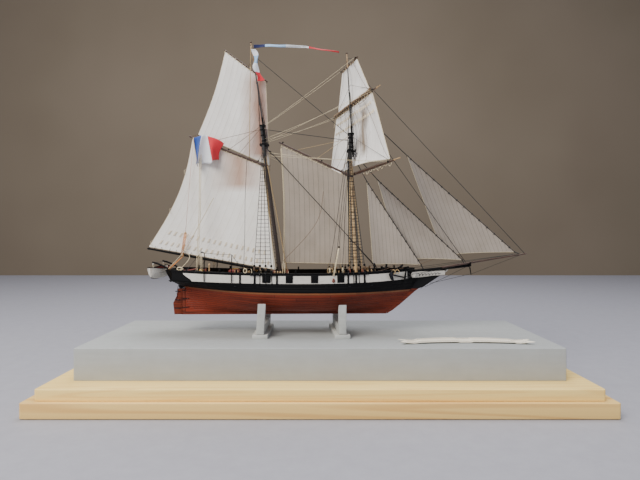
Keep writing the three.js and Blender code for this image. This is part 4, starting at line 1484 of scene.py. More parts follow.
def build_boom_and_gaffs():
    """The fore-and-aft spars and their jaws."""
    spar("main_boom_spar", "main_boom", -X, (1.35, 1.0), 0.25, "main_spars", "black_paint",
         (0.34, 0.72, 0.985))
    spar("main_gaff_spar", "main_gaff", -X, (1.2, 0.75), 0.15, "main_spars", "dark_spar",
         (0.3, 0.6, 0.98))
    spar("fore_gaff_spar", "fore_gaff", -X, (1.15, 0.75), 0.15, "ship", "dark_spar",
         (0.3, 0.6, 0.98))
    spar("topsail_jackyard", "topsail_spar", -X, (0.8, 0.55), 0.2, "main_spars", "dark_spar",
         (0.5,))
    for name, node, body, radius in (("main_boom_jaws", "main_boom", "main_spars", 1.6 * MM),
                                     ("main_gaff_jaws", "main_gaff", "main_spars", 1.4 * MM),
                                     ("fore_gaff_jaws", "fore_gaff", "ship", 1.4 * MM)):
        jaws(name, node, body, radius)


YARDS = (("fore_yard", 1.6, 0.75), ("topsail_yard", 1.25, 0.55), ("topgallant_yard", 0.85, 0.45))


def yard_ends(node):
    """The starboard and port ends of a yard."""
    return spar_ends(node, Y)


def build_yards():
    """The three yards, fullest in the middle and banded."""
    for node, thick, thin in YARDS:
        start, end = yard_ends(node)
        length = (end - start).length
        def radius_at(s):
            reach = abs(2 * s - 1)
            return (thick + (thin - thick) * reach ** 2) * MM
        stations = banded(length, radius_at, [b * length for b in (0.06, 0.2, 0.42, 0.5, 0.58, 0.8, 0.94)],
                          (1.1 * MM, 0.2 * MM), 16)
        piece = stand(turned(node + "_spar", stations, 14), start, end - start)
        fit_out(piece, "dark_spar", body="fore_yards", replaces=(node,))
        build_yard_gear(node, start, end, thick)


def build_yard_gear(node, start, end, thick):
    """Footropes on their stirrups, a jackstay on top, and stunsail booms at the lower yards' ends."""
    aim = (end - start).normalized()
    length = (end - start).length
    drop = {"fore_yard": 6.5, "topsail_yard": 5.5, "topgallant_yard": 3.0}[node] * MM
    back = Vector((-aim.y, aim.x, 0)) * (1 if aim.y < 0 else -1)
    back = back if back.x < 0 else -back
    lines = []
    for low, high in ((0.04, 0.48), (0.96, 0.52)):
        a, b = start.lerp(end, low) + back * thick * MM, start.lerp(end, high) + back * thick * MM
        rope = sagging(a, b, drop, 12)
        lines.append(rope)
        for k in (4, 8):
            lines.append([start.lerp(end, low + (high - low) * k / 12) + back * thick * MM, rope[k]])
    rig(node + "_footropes", lines, 0.22, "brown_line", body="fore_yards")
    jackstay = [start.lerp(end, s) + Z * (thick + 0.35) * MM for s in stretch(0.05, 0.95, 12)]
    rig(node + "_jackstay", [jackstay], 0.18, "tarred_line", body="fore_yards")
    if node == "topgallant_yard":
        return
    booms = []
    for tip, inward in ((start, aim), (end, -aim)):
        out = tip - inward * 0.055 * length
        boom = turned("boom", banded(length * 0.2, taper(0.55, 0.4, 0.1), [length * 0.06, length * 0.12],
                                     (0.8 * MM, 0.3 * MM), 6), 10)
        booms.append(stand(boom, out - back * 1.9 * MM + Z * 1.0 * MM, inward))
    fit_out(joined(node + "_stunsail_booms", booms), "light_spar", body="fore_yards")


# ------------------------------------------------------------------ sails
class Sail:
    """A four-cornered sail cut from parallel cloths, filled by a breeze and drawn in at leech and foot."""

    def __init__(self, node, body, blow, belly, leech, foot, seam, cloth_finish, head_lean=1.0, along=None,
                 folds=0.0, square=False, seed=1.0):
        self.node, self.body, self.blow = node, body, Vector(blow).normalized()
        self.belly, self.leech, self.foot, self.seam = belly * MM, leech * MM, foot * MM, seam * MM
        self.finish, self.folds, self.seed = cloth_finish, folds * MM, seed
        if square:
            aims = ((0, -1, -1), (0, 1, -1), (0, -1, 1), (0, 1, 1))
        else:
            aims = ((1, 0, -1), (-1, 0, -1), (head_lean, 0, 1), (-head_lean, 0, 1))
        self.corners = [corner(node, aim) for aim in aims]
        tack, clew, throat, peak = self.corners
        self.up = Vector(along) if along else (peak - clew).normalized()
        normal = (clew - tack).cross((throat + peak) / 2 - tack).normalized()
        self.side = self.up.cross(normal).normalized()
        if (tack - clew).dot(self.side) < 0:
            self.side.negate()
        self.flat = [Vector(((p - clew).dot(self.side), (p - clew).dot(self.up))) for p in self.corners]

    def at(self, across, up):
        """The place on the filled sail; across from luff to leech, up from foot to head."""
        tack, clew, throat, peak = self.corners
        place = tack.lerp(clew, across).lerp(throat.lerp(peak, across), up)
        round_in = (throat - peak) * Vector((1, 1, 0))
        full = math.sin(math.pi * across) * math.sin(math.pi * up)
        place = place + self.blow * self.belly * full
        if round_in.length > 0:
            place += round_in.normalized() * self.leech * across * math.sin(math.pi * up)
        place.z += self.foot * math.sin(math.pi * across) * (1 - up)
        if self.folds:
            ripple = noise.noise(Vector((across * 4.2, up * 1.1, self.seed))) * 0.7
            ripple += noise.noise(Vector((across * 15, up * 1.6, self.seed + 7))) * 0.3
            edge = min(across, 1 - across, 0.12) / 0.12 * min(up, 1 - up, 0.1) / 0.1
            place += self.blow * self.folds * ripple * edge
        return place

    def share_of(self, spot):
        """The (across, up) of a point on the flat cut."""
        a, b, c, d = self.flat
        u, v = 0.5, 0.5
        for _ in range(14):
            low, high = a.lerp(b, u), c.lerp(d, u)
            off = spot - low.lerp(high, v)
            du, dv = (b - a).lerp(d - c, v), high - low
            scale = du.x * dv.y - du.y * dv.x
            if abs(scale) < 1e-12:
                break
            u += (off.x * dv.y - off.y * dv.x) / scale
            v += (du.x * off.y - du.y * off.x) / scale
        return min(max(u, 0), 1), min(max(v, 0), 1)

    def span_at(self, a):
        """The lowest and highest place of the flat cut on a line parallel to the leech."""
        ring = [self.flat[k] for k in (0, 1, 3, 2)]
        hits = []
        for p, q in zip(ring, ring[1:] + ring[:1]):
            if abs(q.x - p.x) < 1e-9:
                hits += [p.y, q.y] if abs(p.x - a) < 1e-7 else []
            elif min(p.x, q.x) - 1e-9 <= a <= max(p.x, q.x) + 1e-9:
                hits.append(p.y + (q.y - p.y) * (a - p.x) / (q.x - p.x))
        return min(hits), max(hits)

    def columns(self):
        """Places across the cut: each seam as a narrow lap, cloth between, and every corner."""
        low, high = min(p.x for p in self.flat), max(p.x for p in self.flat)
        places = {round(p.x, 7) for p in self.flat}
        lap = 0.35 * MM
        for k in range(math.floor(low / self.seam), math.ceil(high / self.seam) + 1):
            seam = k * self.seam
            places |= {round(seam + d, 7) for d in (-lap, lap, self.seam * 0.3, self.seam * 0.7)}
        inside = sorted(p for p in places if low <= p <= high)
        kept = [inside[0]]
        for p in inside[1:]:
            if p - kept[-1] > 0.12 * MM or p == inside[-1]:
                kept.append(p)
        return kept

    def build(self, rows=28, held="stretched"):
        """The cloth with its seams, its bolt rope and its cringles."""
        points, uvs = [], []
        columns = self.columns()
        corners = sorted(p.x for p in self.flat)
        eps = 1e-6
        for a in columns:
            inner = min(max(a, corners[0] + eps), corners[-1] - eps)
            low, high = self.span_at(inner)
            near_seam = abs((a + self.seam / 2) % self.seam - self.seam / 2) < 0.4 * MM
            for j in range(rows + 1):
                b = low + (high - low) * j / rows
                place = self.at(*self.share_of(Vector((inner, b))))
                points.append(place - self.blow * (0.1 * MM if near_seam else 0))
                uvs.append((a, b))
        piece = new_mesh(self.node + "_cloth", points, grid_faces(len(columns) - 1, rows), uvs)
        mesh = bmesh.new()
        mesh.from_mesh(piece.data)
        bmesh.ops.remove_doubles(mesh, verts=mesh.verts, dist=2e-5)
        mesh.to_mesh(piece.data)
        mesh.free()
        with_modifier(piece, "SOLIDIFY", thickness=0.3 * MM, offset=0)
        smooth(piece, 50)
        fit_out(piece, self.finish, body=self.body, replaces=(self.node,))
        trims = self.trim()
        return piece

    def edge(self, which, count=26):
        walk = stretch(0.0, 1.0, count)
        return {"foot": [self.at(s, 0) for s in walk], "head": [self.at(s, 1) for s in walk],
                "luff": [self.at(0, s) for s in walk], "leech": [self.at(1, s) for s in walk]}[which]

    def trim(self):
        """The bolt rope sewn round the edge, and the cringles at its corners."""
        ring = [*self.edge("foot"), *self.edge("leech")[1:], *reversed(self.edge("head")[:-1]),
                *reversed(self.edge("luff")[:-1])]
        rope = cordage(self.node + "_bolt_rope", [ring], 0.32 * MM, 6)
        fit_out(rope, "cream_line", body=self.body)
        rings = []
        for place in self.corners:
            rings.append(loop_of(facing(place, self.blow), 0.8 * MM, 0.8 * MM, count=12))
        cringles = cordage(self.node + "_cringles", rings, 0.22 * MM, 5)
        fit_out(cringles, "tarred_line", body=self.body)
        return [rope, cringles]

    def lacing(self, name, which, spacing, radius, finish, thick=0.22 * MM, skip=0.0):
        """Turns of line that hold an edge of the sail to its spar or stay."""
        edge = self.edge(which, 60)
        run, lines, due = 0.0, [], spacing
        for p, q in zip(edge, edge[1:]):
            step = (q - p).length
            run += step
            if run >= due and run > skip:
                due += spacing
                lines.append(loop_of(facing(q, q - p), radius, radius, 0.35 * MM))
        piece = cordage(name, lines, thick, 5)
        return fit_out(piece, finish, body=self.body)


def reef_tabs(sail, name, low, rows, spacing, start, end, height):
    """Short reef points hanging in rows on both faces of a sail."""
    patches = []
    for row in range(rows):
        up = low + row * spacing
        count = round((end - start) * (sail.at(start, up)
                                       - sail.at(end, up)).length / (6.6 * MM) / (end - start))
        for k in range(count + 1):
            across = start + (end - start) * (k + 0.5 * (row % 2)) / count
            if across > end + 0.01:
                continue
            place = sail.at(across, up)
            below = sail.at(across, max(up - 0.01, 0)) - place
            below.normalize()
            for face in (-1, 1):
                off = sail.blow * face * 0.42 * MM
                lean = X * 1.1 * MM * (1 + 0.4 * noise.noise(Vector((k * 1.7, row * 5.1, face))))
                wide = X * 1.0 * MM
                tail = place + below * height * (1 + 0.15 * noise.noise(Vector((k * 2.3, row, 3.0)))) - lean
                patches.append([place - wide + off, place + wide + off, tail + wide + off * 1.8,
                                tail - wide + off * 1.8])
    points = [p for patch in patches for p in patch]
    faces = [tuple(range(4 * k, 4 * k + 4)) for k in range(len(patches))]
    piece = new_mesh(name, points, faces, [(p.x, p.z) for p in points])
    with_modifier(piece, "SUBSURF", levels=1, render_levels=1, subdivision_type="SIMPLE")
    with_modifier(piece, "SOLIDIFY", thickness=0.22 * MM, offset=0)
    return fit_out(piece, "reef_tab", body=sail.body)


def hanks(sail, name, spacing):
    """Black hanks that hold a headsail's luff to its stay."""
    edge = sail.edge("luff", 120)
    run, due, beads = 0.0, spacing * 0.6, []
    for p, q in zip(edge, edge[1:]):
        run += (q - p).length
        if run >= due:
            due += spacing
            beads.append(loop_of(facing(q, q - p), 1.0 * MM, 1.0 * MM))
    return rig(name, beads, 0.42, "tarred_line", sides=6, body=sail.body)


def make_sails():
    """All eight sails with their lacings, robands, reef tabs and hanks."""
    sails = {}
    ahead = (math.cos(math.radians(16.5)), math.sin(math.radians(16.5)), 0)
    for sail in (
            Sail("mainsail", "main_spars", Y, 4, 9.5, 0, 9.0, "main_cloth", folds=0.8, seed=3.1),
            Sail("gaff_topsail", "main_spars", Y, 1.5, 3, 0, 6.4, "topsail_cloth", folds=0.9, seed=5.3),
            # the foresail and headsails take the darker cloths, which paint in their shade
            Sail("foresail", "ship", Y, 3, 2, 0, 8.0, "foresail_cloth", folds=0.6, seed=2.2),
            Sail("fore_staysail", "ship", Y, 1.5, 0, 1, 7.6, "shaded_headsail_cloth", head_lean=0.3, folds=0.3,
                 seed=8.0),
            Sail("jib", "ship", Y, 3, 0, 1, 7.6, "shaded_headsail_cloth", head_lean=0.3, folds=0.4, seed=9.0),
            Sail("outer_jib", "ship", Y, 4, 0, 1, 7.6, "shaded_headsail_cloth", head_lean=0.3, folds=0.5, seed=10.0),
            Sail("fore_topsail", "fore_yards", ahead, 6, 0, 7, 8.6, "square_cloth", along=Z, folds=2.2,
                 square=True, seed=4.4),
            Sail("topgallant_sail", "fore_yards", ahead, 3, 0, 3, 8.6, "square_cloth", along=Z, folds=1.0,
                 square=True, seed=6.6)):
        sails[sail.node] = sail
        sail.build()
    sails["mainsail"].lacing("mainsail_head_lacing", "head", 6.5 * MM, 1.7 * MM, "cream_line")
    sails["mainsail"].lacing("mainsail_foot_lacing", "foot", 9 * MM, 2.1 * MM, "tarred_line")
    sails["foresail"].lacing("foresail_head_lacing", "head", 6.5 * MM, 1.7 * MM, "cream_line")
    sails["gaff_topsail"].lacing("topsail_head_lacing", "head", 5 * MM, 1.4 * MM, "cream_line")
    sails["fore_topsail"].lacing("topsail_robands", "head", 8.6 * MM, 1.9 * MM, "cream_line")
    sails["topgallant_sail"].lacing("topgallant_robands", "head", 8.6 * MM, 1.4 * MM, "cream_line")
    reef_tabs(sails["mainsail"], "mainsail_reef_tabs", 0.075, 2, 0.095, 0.05, 0.93, 4.6 * MM)
    reef_tabs(sails["fore_topsail"], "topsail_reef_tabs", 0.76, 2, 0.14, 0.06, 0.94, 3.4 * MM)
    for node, spacing in (("fore_staysail", 9 * MM), ("jib", 9 * MM), ("outer_jib", 12 * MM)):
        hanks(sails[node], node + "_hanks", spacing)
    return sails


# ------------------------------------------------------------------ flags
def flag(name, node, rows, columns, place, colours, flat, body="ship"):
    """A flag of cloth panels; place(s, t) gives a point and colours gives each panel's end and finish."""
    points, uvs = [], []
    for i in range(columns + 1):
        for j in range(rows + 1):
            s, t = i / columns, j / rows
            points.append(place(s, t))
            uvs.append((s * flat[0], t * flat[1]))
    piece = new_mesh(name, points, grid_faces(columns, rows), uvs)
    fit_out(piece, None, body=body, replaces=(node,))
    for _, finish in colours:
        piece.data.materials.append(FINISHES[finish])
    for polygon in piece.data.polygons:
        share = (polygon.index // rows + 0.5) / columns
        polygon.material_index = next(k for k, (end, _) in enumerate(colours) if share <= end)
        polygon.use_smooth = True
    with_modifier(piece, "SOLIDIFY", thickness=0.25 * MM, offset=0)
    return piece


def build_flags():
    """The ensign hangs from the peak in soft folds; the pennant and streamer blow out from the trucks."""
    low, high = (Vector(c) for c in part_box("ensign"))
    depth, width = 34 * MM, 44 * MM
    seams = ((1.5, 4.0), (11.5, -5.0), (18.1, 6.6),
             (37.4, -6.6))     # mm along the gaff, and how far each seam leans

    def ensign(s, t):
        """Each panel seam leans its own way, so the blue narrows to a point and the white fans out."""
        k = min(int(s * 3), 2)
        share = s * 3 - k
        share = share * share * (3 - 2 * share) * 0.5 + share * 0.5
        along = seams[k][0] + (seams[k + 1][0] - seams[k][0]) * share
        lean = seams[k][1] + (seams[k + 1][1] - seams[k][1]) * share
        rise = 4.2 * math.sin(math.pi * min(s * 0.85, 1)) - 8.5 * s ** 4
        drop = depth / MM * t * (0.97 - 0.42 * max(s - 0.6, 0) / 0.4)
        bulge = 2.6 * math.sin(math.pi * t) * max(s - 0.6, 0) * 2.5
        fold = math.sin(2 * math.pi * 2.1 * s + 1.5 * t) * (1.4 + 2.8 * t)
        fine = math.sin(2 * math.pi * 4.6 * s + 0.8 + 2.2 * t) * 0.9 * t
        return Vector((low.x + (along + lean * t - bulge * 0.9) * MM,
                       (low.y + high.y) / 2 + (fold + fine) * MM, high.z + (1.5 + rise - drop) * MM))

    flag("ensign_cloth", "ensign", 16, 60, ensign, ((1 / 3, "bunting_blue"), (2 / 3, "bunting_white"),
                                                    (1.0, "bunting_red")), (width, depth),
         body="main_spars")
    sleeve = [ensign(0, t) for t in stretch(0, 1, 10)]
    rig("ensign_sleeve", [sleeve], 0.45, "cream_line", sides=6, body="main_spars")

    low_p, high_p = (Vector(c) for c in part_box("pennant"))
    length = high_p.x - low_p.x

    def pennant(s, t):
        height = (3.8 - 2.6 * s) * MM
        z = 399.6 * MM - 8.2 * MM * s + 3.2 * MM * math.sin(math.pi * s) + 0.5 * MM * math.sin(13 * s)
        sway = 1.0 * MM * math.sin(11 * s + 2 * t) + 0.4 * MM * math.sin(27 * s)
        return Vector((low_p.x + length * s, sway, z - height * t))

    flag("pennant_cloth", "pennant", 4, 90, pennant, ((0.13, "bunting_navy"), (0.38, "bunting_pale_blue"),
                                                      (0.64, "bunting_white"), (1.0, "bunting_red")),
         (length, 3.8 * MM))

    low_s, high_s = (Vector(c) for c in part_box("streamer"))
    fall = high_s.z - low_s.z

    def streamer(s, t):
        half = (2.6 + 2.6 * max(s - 0.74, 0) * 4 * 0.6 + 0.8 * math.sin(13 * s)) * MM
        x = -78.4 * MM + 7.6 * MM * s + 1.6 * MM * math.sin(8 * s)
        y = -3.4 * MM + 1.5 * MM * math.sin(7 * s + 3.0 * t) * (0.3 + s)
        return Vector((x + half * (2 * t - 1), y, high_s.z - fall * s))

    flag("streamer_cloth", "streamer", 6, 44, streamer,
         ((0.2, "bunting_white"), (0.45, "bunting_pale_blue"),
                                                         (0.72, "bunting_white"), (1.0, "bunting_red")),
         (fall, 6 * MM))


# ------------------------------------------------------------------ blocks and deadeyes
def block_pattern(size=2.4 * MM):
    """A wooden block: a box with rounded edges and an inset outline on each cheek."""
    def shape(piece):
        bpy.ops.mesh.select_all(action="SELECT")
        bpy.ops.mesh.bevel(offset=size * 0.3, segments=3, affect="EDGES")
        select_faces(piece, lambda spot, normal: abs(normal.y) > 0.95)
        bpy.ops.mesh.inset(thickness=size * 0.08)
    pattern = block("block", (size * 0.8, size * 0.62, size), shape=shape, bevel=0)
    smooth(pattern, 50)
    return pattern


def deadeye_pattern(size=2.6 * MM):
    """A round deadeye with a scored rim."""
    pattern = turned("deadeye", [(-0.6 * MM, size * 0.36), (-0.45 * MM, size * 0.5),
                                 (-0.12 * MM, size * 0.5),
                                 (0, size * 0.44), (0.12 * MM, size * 0.5), (0.45 * MM, size * 0.5),
                                 (0.6 * MM, size * 0.36)], 14, 25)
    return pattern


def rig_blocks(name, places, body, size=2.4 * MM, finish="black_paint"):
    """Blocks at (place, direction) pairs, joined as one piece."""
    pattern = block_pattern(size)
    made = copies(pattern, [facing(place, along, Y) for place, along in places])
    return fit_out(joined(name, made), finish, body=body)


# ------------------------------------------------------------------ standing rigging
SHROUD_FEET = {"main": (-73, -66.5, -60, -53.5), "fore": (31.7, 37.5, 43.5, 50.3)}
RATLINE_STEP = {"main": 4.4 * MM, "fore": 3.3 * MM}
BLACK_POSTS = {"main": (-88.6, -72.2, -47.6), "fore": (31.3, 40.2, 49.8)}


def build_shrouds(mast):
    """On each side: channel, chain plates, deadeyes with lanyards, shrouds to the masthead and ratlines."""
    feet = SHROUD_FEET[mast.label]
    for side, label in SIDE_NAMES.items():
        shrouds, lanyards, plates, eyes, rungs = [], [], [], [], []
        pattern = deadeye_pattern()
        for k, x in enumerate(feet):
            foot = SIDE.at(x * MM, RAIL_HIGH + 1.6 * MM, 1.4 * MM, side)
            head = mast.at(mast.top.z + 2.2 * MM, (k - 1.5) * 0.5 * MM - (2 * MM if mast is FORE else 0),
                           side * 2.2 * MM)
            aim = (head - foot).normalized()
            upper = foot + aim * 6.5 * MM
            shrouds.append([upper + aim * 0.6 * MM, *stretch_points(upper + aim * MM, head, 8)])
            lanyards += [[foot + X * d * MM, upper + X * d * MM] for d in (-0.7, 0, 0.7)]
            out = Vector((0, side, 0))
            eyes += copies(pattern, [facing(foot, out), facing(upper, out)], keep=True)
            low = SIDE.at(x * MM - (head.x - foot.x) * 0.05, BAND_LOW - 1.0 * MM, 0.75 * MM, side)
            plates.append([foot - aim * 1.0 * MM, SIDE.at(x * MM, BAND_HIGH + 0.4 * MM, 1.0 * MM, side),
                           SIDE.at(x * MM, (BAND_LOW + BAND_HIGH) / 2, 0.7 * MM, side), low])
        bpy.data.objects.remove(pattern)
        z = shrouds[0][0].z + 3 * MM
        while z < mast.top.z - 12 * MM:
            rung = []
            for line in shrouds:
                a, b = line[0], line[-1]
                rung.append(a.lerp(b, (z - a.z) / (b.z - a.z)) + Y * side * 0.25 * MM)
            rungs.append([p for a, b in zip(rung, rung[1:]) for p in sagging(a, b, 0.18 * MM, 3)[:-1]]
                         + [rung[-1]])
            z += RATLINE_STEP[mast.label]
        rig(f"{mast.label}_shrouds_{label}_lines", shrouds, 0.36, "tarred_line", sides=6,
            replaces=(f"{mast.label}_shrouds_{label}",))
        rig(f"{mast.label}_ratlines_{label}", rungs, 0.27, "tarred_line")
        rig(f"{mast.label}_lanyards_{label}", lanyards, 0.2, "brown_line")
        fit_out(joined(f"{mast.label}_deadeyes_{label}", eyes), "black_paint")
        rig(f"{mast.label}_chain_plates_{label}", plates, 0.42, "iron", sides=6)
        channel = strip(f"{mast.label}_channel_{label}",
                        stretch((feet[0] - 5) * MM, (feet[-1] + 4) * MM, 12),
                        lambda x: [(BAND_HIGH + 0.2 * MM, 0.2 * MM), (BAND_HIGH + 0.2 * MM, 1.7 * MM),
                                   (BAND_HIGH + 1.2 * MM, 1.7 * MM), (BAND_HIGH + 1.2 * MM, 0.2 * MM)],
                        side)
        fit_out(channel, "black_paint")
        posts = [strip(f"post_{k}", stretch((x - 1.0) * MM, (x + 1.0) * MM, 3),
                       lambda x: [(BAND_LOW - 0.6 * MM, 0.3 * MM), (BAND_LOW - 0.6 * MM, 0.95 * MM),
                                  (BAND_HIGH + 0.4 * MM, 0.95 * MM), (BAND_HIGH + 0.4 * MM, 0.3 * MM)],
                       side)
                 for k, x in enumerate(BLACK_POSTS[mast.label])]
        fit_out(joined(f"{mast.label}_black_posts_{label}", posts), "black_paint")


def build_futtocks(mast):
    """Topmast shrouds that spread from the crosstrees' ends to the topmast, with futtocks below."""
    low, high = (Vector(c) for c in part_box(f"{mast.label}_top"))
    lines = []
    for side in (STARBOARD, PORT):
        edge = (high.y if side > 0 else low.y) * 0.92
        for x in (low.x + 1.0 * MM, high.x - 1.0 * MM):
            rim = Vector((x, edge, high.z))
            lines.append([mast.at(rim.z - 11 * MM, 0, side * 1.8 * MM), rim])
            lines.append([rim, mast.upper(mast.truck.z - 46 * MM, 0, side * 0.8 * MM)])
    rig(f"{mast.label}_topmast_shrouds", lines, 0.22, "tarred_line")


def build_stays():
    """Stays ahead of and between the masts, and the rigging under the bowsprit."""
    bow = spar_ends("bowsprit", X)
    tip = spar_ends("jib_boom", X)[1]
    on_bowsprit = lambda x: bow[0].lerp(bow[1], (x * MM - bow[0].x) / (bow[1].x - bow[0].x)) + Z * 1.9 * MM
    staysail, jib, outer = SAILS["fore_staysail"], SAILS["jib"], SAILS["outer_jib"]

    def carried(sail, foot, height):
        """A stay that carries a headsail's luff and goes on past it to the mast."""
        return [foot, *[sail.at(0, s) for s in stretch(0, 1, 10)], height]
    heavy = [
        carried(staysail, on_bowsprit(122), FORE.at(271 * MM, 1.6 * MM)),
        carried(jib, on_bowsprit(171), FORE.at(274 * MM, 1.6 * MM)),
        carried(outer, tip - X * 9 * MM, FORE.upper(331 * MM, 1 * MM)),
    ]
    rig("headsail_stays", heavy, 0.5, "tarred_line", sides=6)
    light = [
        stretch_points(tip - X * 2 * MM, FORE.upper(378 * MM, 0.8 * MM), 4),
        stretch_points(on_bowsprit(173) - Y * 2 * MM, FORE.upper(333 * MM, 1 * MM, -1 * MM), 4),
        stretch_points(MAIN.at(299 * MM, 4 * MM, -1.2 * MM), FORE.at(286 * MM, -2 * MM, -1.2 * MM), 4),
        stretch_points(MAIN.upper(386 * MM, 1 * MM, -1 * MM), FORE.at(292 * MM, -1 * MM, -1.6 * MM), 4),
    ]
    rig("topmast_stays", light, 0.34, "tarred_line", sides=6)
    foot = vec(66.5, -7, 136.5)
    collar = MAIN.at(278 * MM, 2.5 * MM, -2.4 * MM)
    main_stay = [collar, MAIN.at(273 * MM, 6 * MM, -3.2 * MM),
                 *stretch_points(MAIN.at(268 * MM, 11 * MM, -4 * MM), foot, 6)]
    twin = [Vector((p.x, -p.y, p.z)) for p in main_stay]
    rig("main_stay", [main_stay, twin], 0.45, "tarred_line", sides=6)
    rig_blocks("main_stay_hearts", [(MAIN.at(272 * MM, 7 * MM, -3.4 * MM), main_stay[-1] - main_stay[0]),
                                    (MAIN.at(272 * MM, 7 * MM, 3.4 * MM), main_stay[-1] - main_stay[0])],
               "ship", 2.8 * MM)

    striker = spar_ends("dolphin_striker", -Z)[1]
    stem_point = vec(130, 0, 117.5)
    under = [
        stretch_points(tip - X * 3 * MM, striker + Z * 0.6 * MM, 4),
        stretch_points(striker + Z * MM, stem_point, 4),
        sagging(on_bowsprit(172) - Z * 3.4 * MM, vec(124, 0, 113.5), 0.4 * MM),
        sagging(on_bowsprit(150) - Z * 3.6 * MM, vec(119, 0, 111.5), 0.3 * MM),
    ]
    for side in (STARBOARD, PORT):
        under.append(stretch_points(on_bowsprit(168) - Z * 1.5 * MM,
                                    SIDE.at(103 * MM, 5 * MM, 1.2 * MM, side), 4))
        under.append(stretch_points(tip - X * 8 * MM, SIDE.at(99 * MM, 9 * MM, 1.2 * MM, side) + Z * MM, 5))
    rig("bobstays_and_guys", under, 0.24, "tarred_line")


def build_backstays():
    """Fore backstays to the rail abaft the shrouds, and the main topmast's far pair, set up by tackles."""
    lines, tackles, blocks = [], [], []
    for side in (STARBOARD, PORT):
        for k, x in enumerate((10.5, 16.5, 25)):
            foot = SIDE.at(x * MM, RAIL_HIGH + 7 * MM, 0.4 * MM, side)
            head = FORE.at((288 - 4 * k) * MM, -1 * MM, side * 2 * MM)
            wave = [p + X * 0.5 * MM * math.sin(6.5 * s + k) * math.sin(math.pi * s)
                    for s, p in ((n / 18, foot.lerp(head, n / 18)) for n in range(19))]
            lines.append(wave)
            rail = SIDE.at((x + 0.4) * MM, RAIL_HIGH, 0.2 * MM, side)
            tackles += [[rail + X * d * MM, foot + X * d * MM * 0.6] for d in (-0.8, 0, 0.8)]
            blocks.append((foot, head - foot))
    for x, height in ((-89, 300), (-80.5, 340)):
        foot = SIDE.at(x * MM, RAIL_HIGH + 5 * MM, 0.6 * MM)
        head = MAIN.upper(height * MM, -0.6 * MM, 1.2 * MM)
        lines.append(stretch_points(foot, head, 4))
        tackles.append([SIDE.at(x * MM, RAIL_HIGH, 0.2 * MM), foot])
        blocks.append((foot, head - foot))
    rig("backstays", lines, 0.26, "tarred_line")
    rig("backstay_tackles", tackles, 0.22, "cream_line")
    rig_blocks("backstay_blocks", blocks, "ship", 2.0 * MM)


# ------------------------------------------------------------------ running rigging
def across_joint(name, lines, radius, finish, sides=5):
    """Ropes from one body to another, made in place as one mesh and given no body."""
    piece = cordage(name, lines, radius, sides)
    piece.data.materials.append(FINISHES[finish])
    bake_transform(piece)
    return piece


def build_braces():
    """Braces from the yardarms aft to the main mast, double for the lower yards."""
    leads = {"fore_yard": ((268, 272), 0.93), "topsail_yard": ((284, 288), 0.92),
             "topgallant_yard": ((304,), 0.9)}
    lines, blocks = [], []
    for node, (heights, share) in leads.items():
        start, end = yard_ends(node)
        centre = (start + end) / 2
        for side, arm in ((STARBOARD, start), (PORT, end)):
            tip = centre.lerp(arm, share)
            for k, height in enumerate(heights):
                inner = MAIN.at(height * MM, 3 * MM, side * 2.2 * MM) if height < 300 else MAIN.upper(
                    height * MM, 1 * MM, side * 1.2 * MM)
                lines.append(sagging(inner, tip + Z * (0.8 - 1.2 * k) * MM - X * 2 * MM * (1 - k),
                                     (1.0 + k) * MM, 14))
            blocks.append((tip - X * 2 * MM, MAIN.at(280 * MM) - tip))
    across_joint("yard_braces", lines, 0.16 * MM, "cream_line")
    rig_blocks("brace_blocks", blocks, "fore_yards", 2.0 * MM)


def build_yard_lifts():
    """Lifts from the yardarms to the mast, sheets down each leech and clewlines up the back of the sails."""
    lifts, sheets, clewlines = [], [], []
    for node, top in (("fore_yard", FORE.at(291 * MM, 3 * MM)),
                      ("topsail_yard", FORE.upper(352 * MM, 1 * MM)),
                      ("topgallant_yard", FORE.upper(383 * MM, 0.6 * MM))):
        start, end = yard_ends(node)
        for arm in (start, end):
            lifts.append(sagging((start + end).lerp(arm * 2, 0.94) / 2 + Z * 0.6 * MM, top, 0.5 * MM))
    topsail, gallant = SAILS["fore_topsail"], SAILS["topgallant_sail"]
    aft = topsail.blow * -1.0 * MM
    for across in (0, 1):
        loop = [topsail.at(across, s) + aft * (1.5 + 1.5 * math.sin(math.pi * s))
                + Y * (0.8 if across else -0.8) * MM
                * math.sin(math.pi * s) * 3 for s in stretch(0.86, 1.0, 8)]
        sheets.append(loop)
        inner = 0.2 if across == 0 else 0.8
        clewlines.append([topsail.at(across, 0.01) + aft * 1.6,
                          *[topsail.at(across + (inner - across) * s, s) + aft * 2
                            for s in stretch(0.1, 0.98, 10)]])
        clewlines.append([gallant.at(across, 0.02) + aft * 1.6,
                          *[gallant.at(across + (inner - across) * s, s) + aft * 2
                            for s in stretch(0.1, 0.98, 8)]])
    for across in (0.3, 0.42, 0.58, 0.7):
        clewlines.append([topsail.at(across, s) + aft * 2.2 for s in stretch(0.02, 0.98, 14)])
    rig("yard_lifts", lifts, 0.2, "tarred_line", body="fore_yards")
    rig("sail_loops", sheets, 0.3, "cream_line", body="fore_yards")
    rig("clewlines_and_buntlines", clewlines, 0.17, "brown_line", body="fore_yards")
    build_gaskets()
    start, end = yard_ends("fore_yard")
    loops = []
    for s in stretch(0.62, 0.95, 7):
        a = end.lerp(start, s) - Z * 1.6 * MM
        loops.append(sagging(a, a + (start - end).normalized() * 7 * MM,
                             (2.5 + 1.2 * math.sin(40 * s)) * MM, 8))
    rig("lower_yard_loops", loops, 0.26, "cream_line", body="fore_yards")


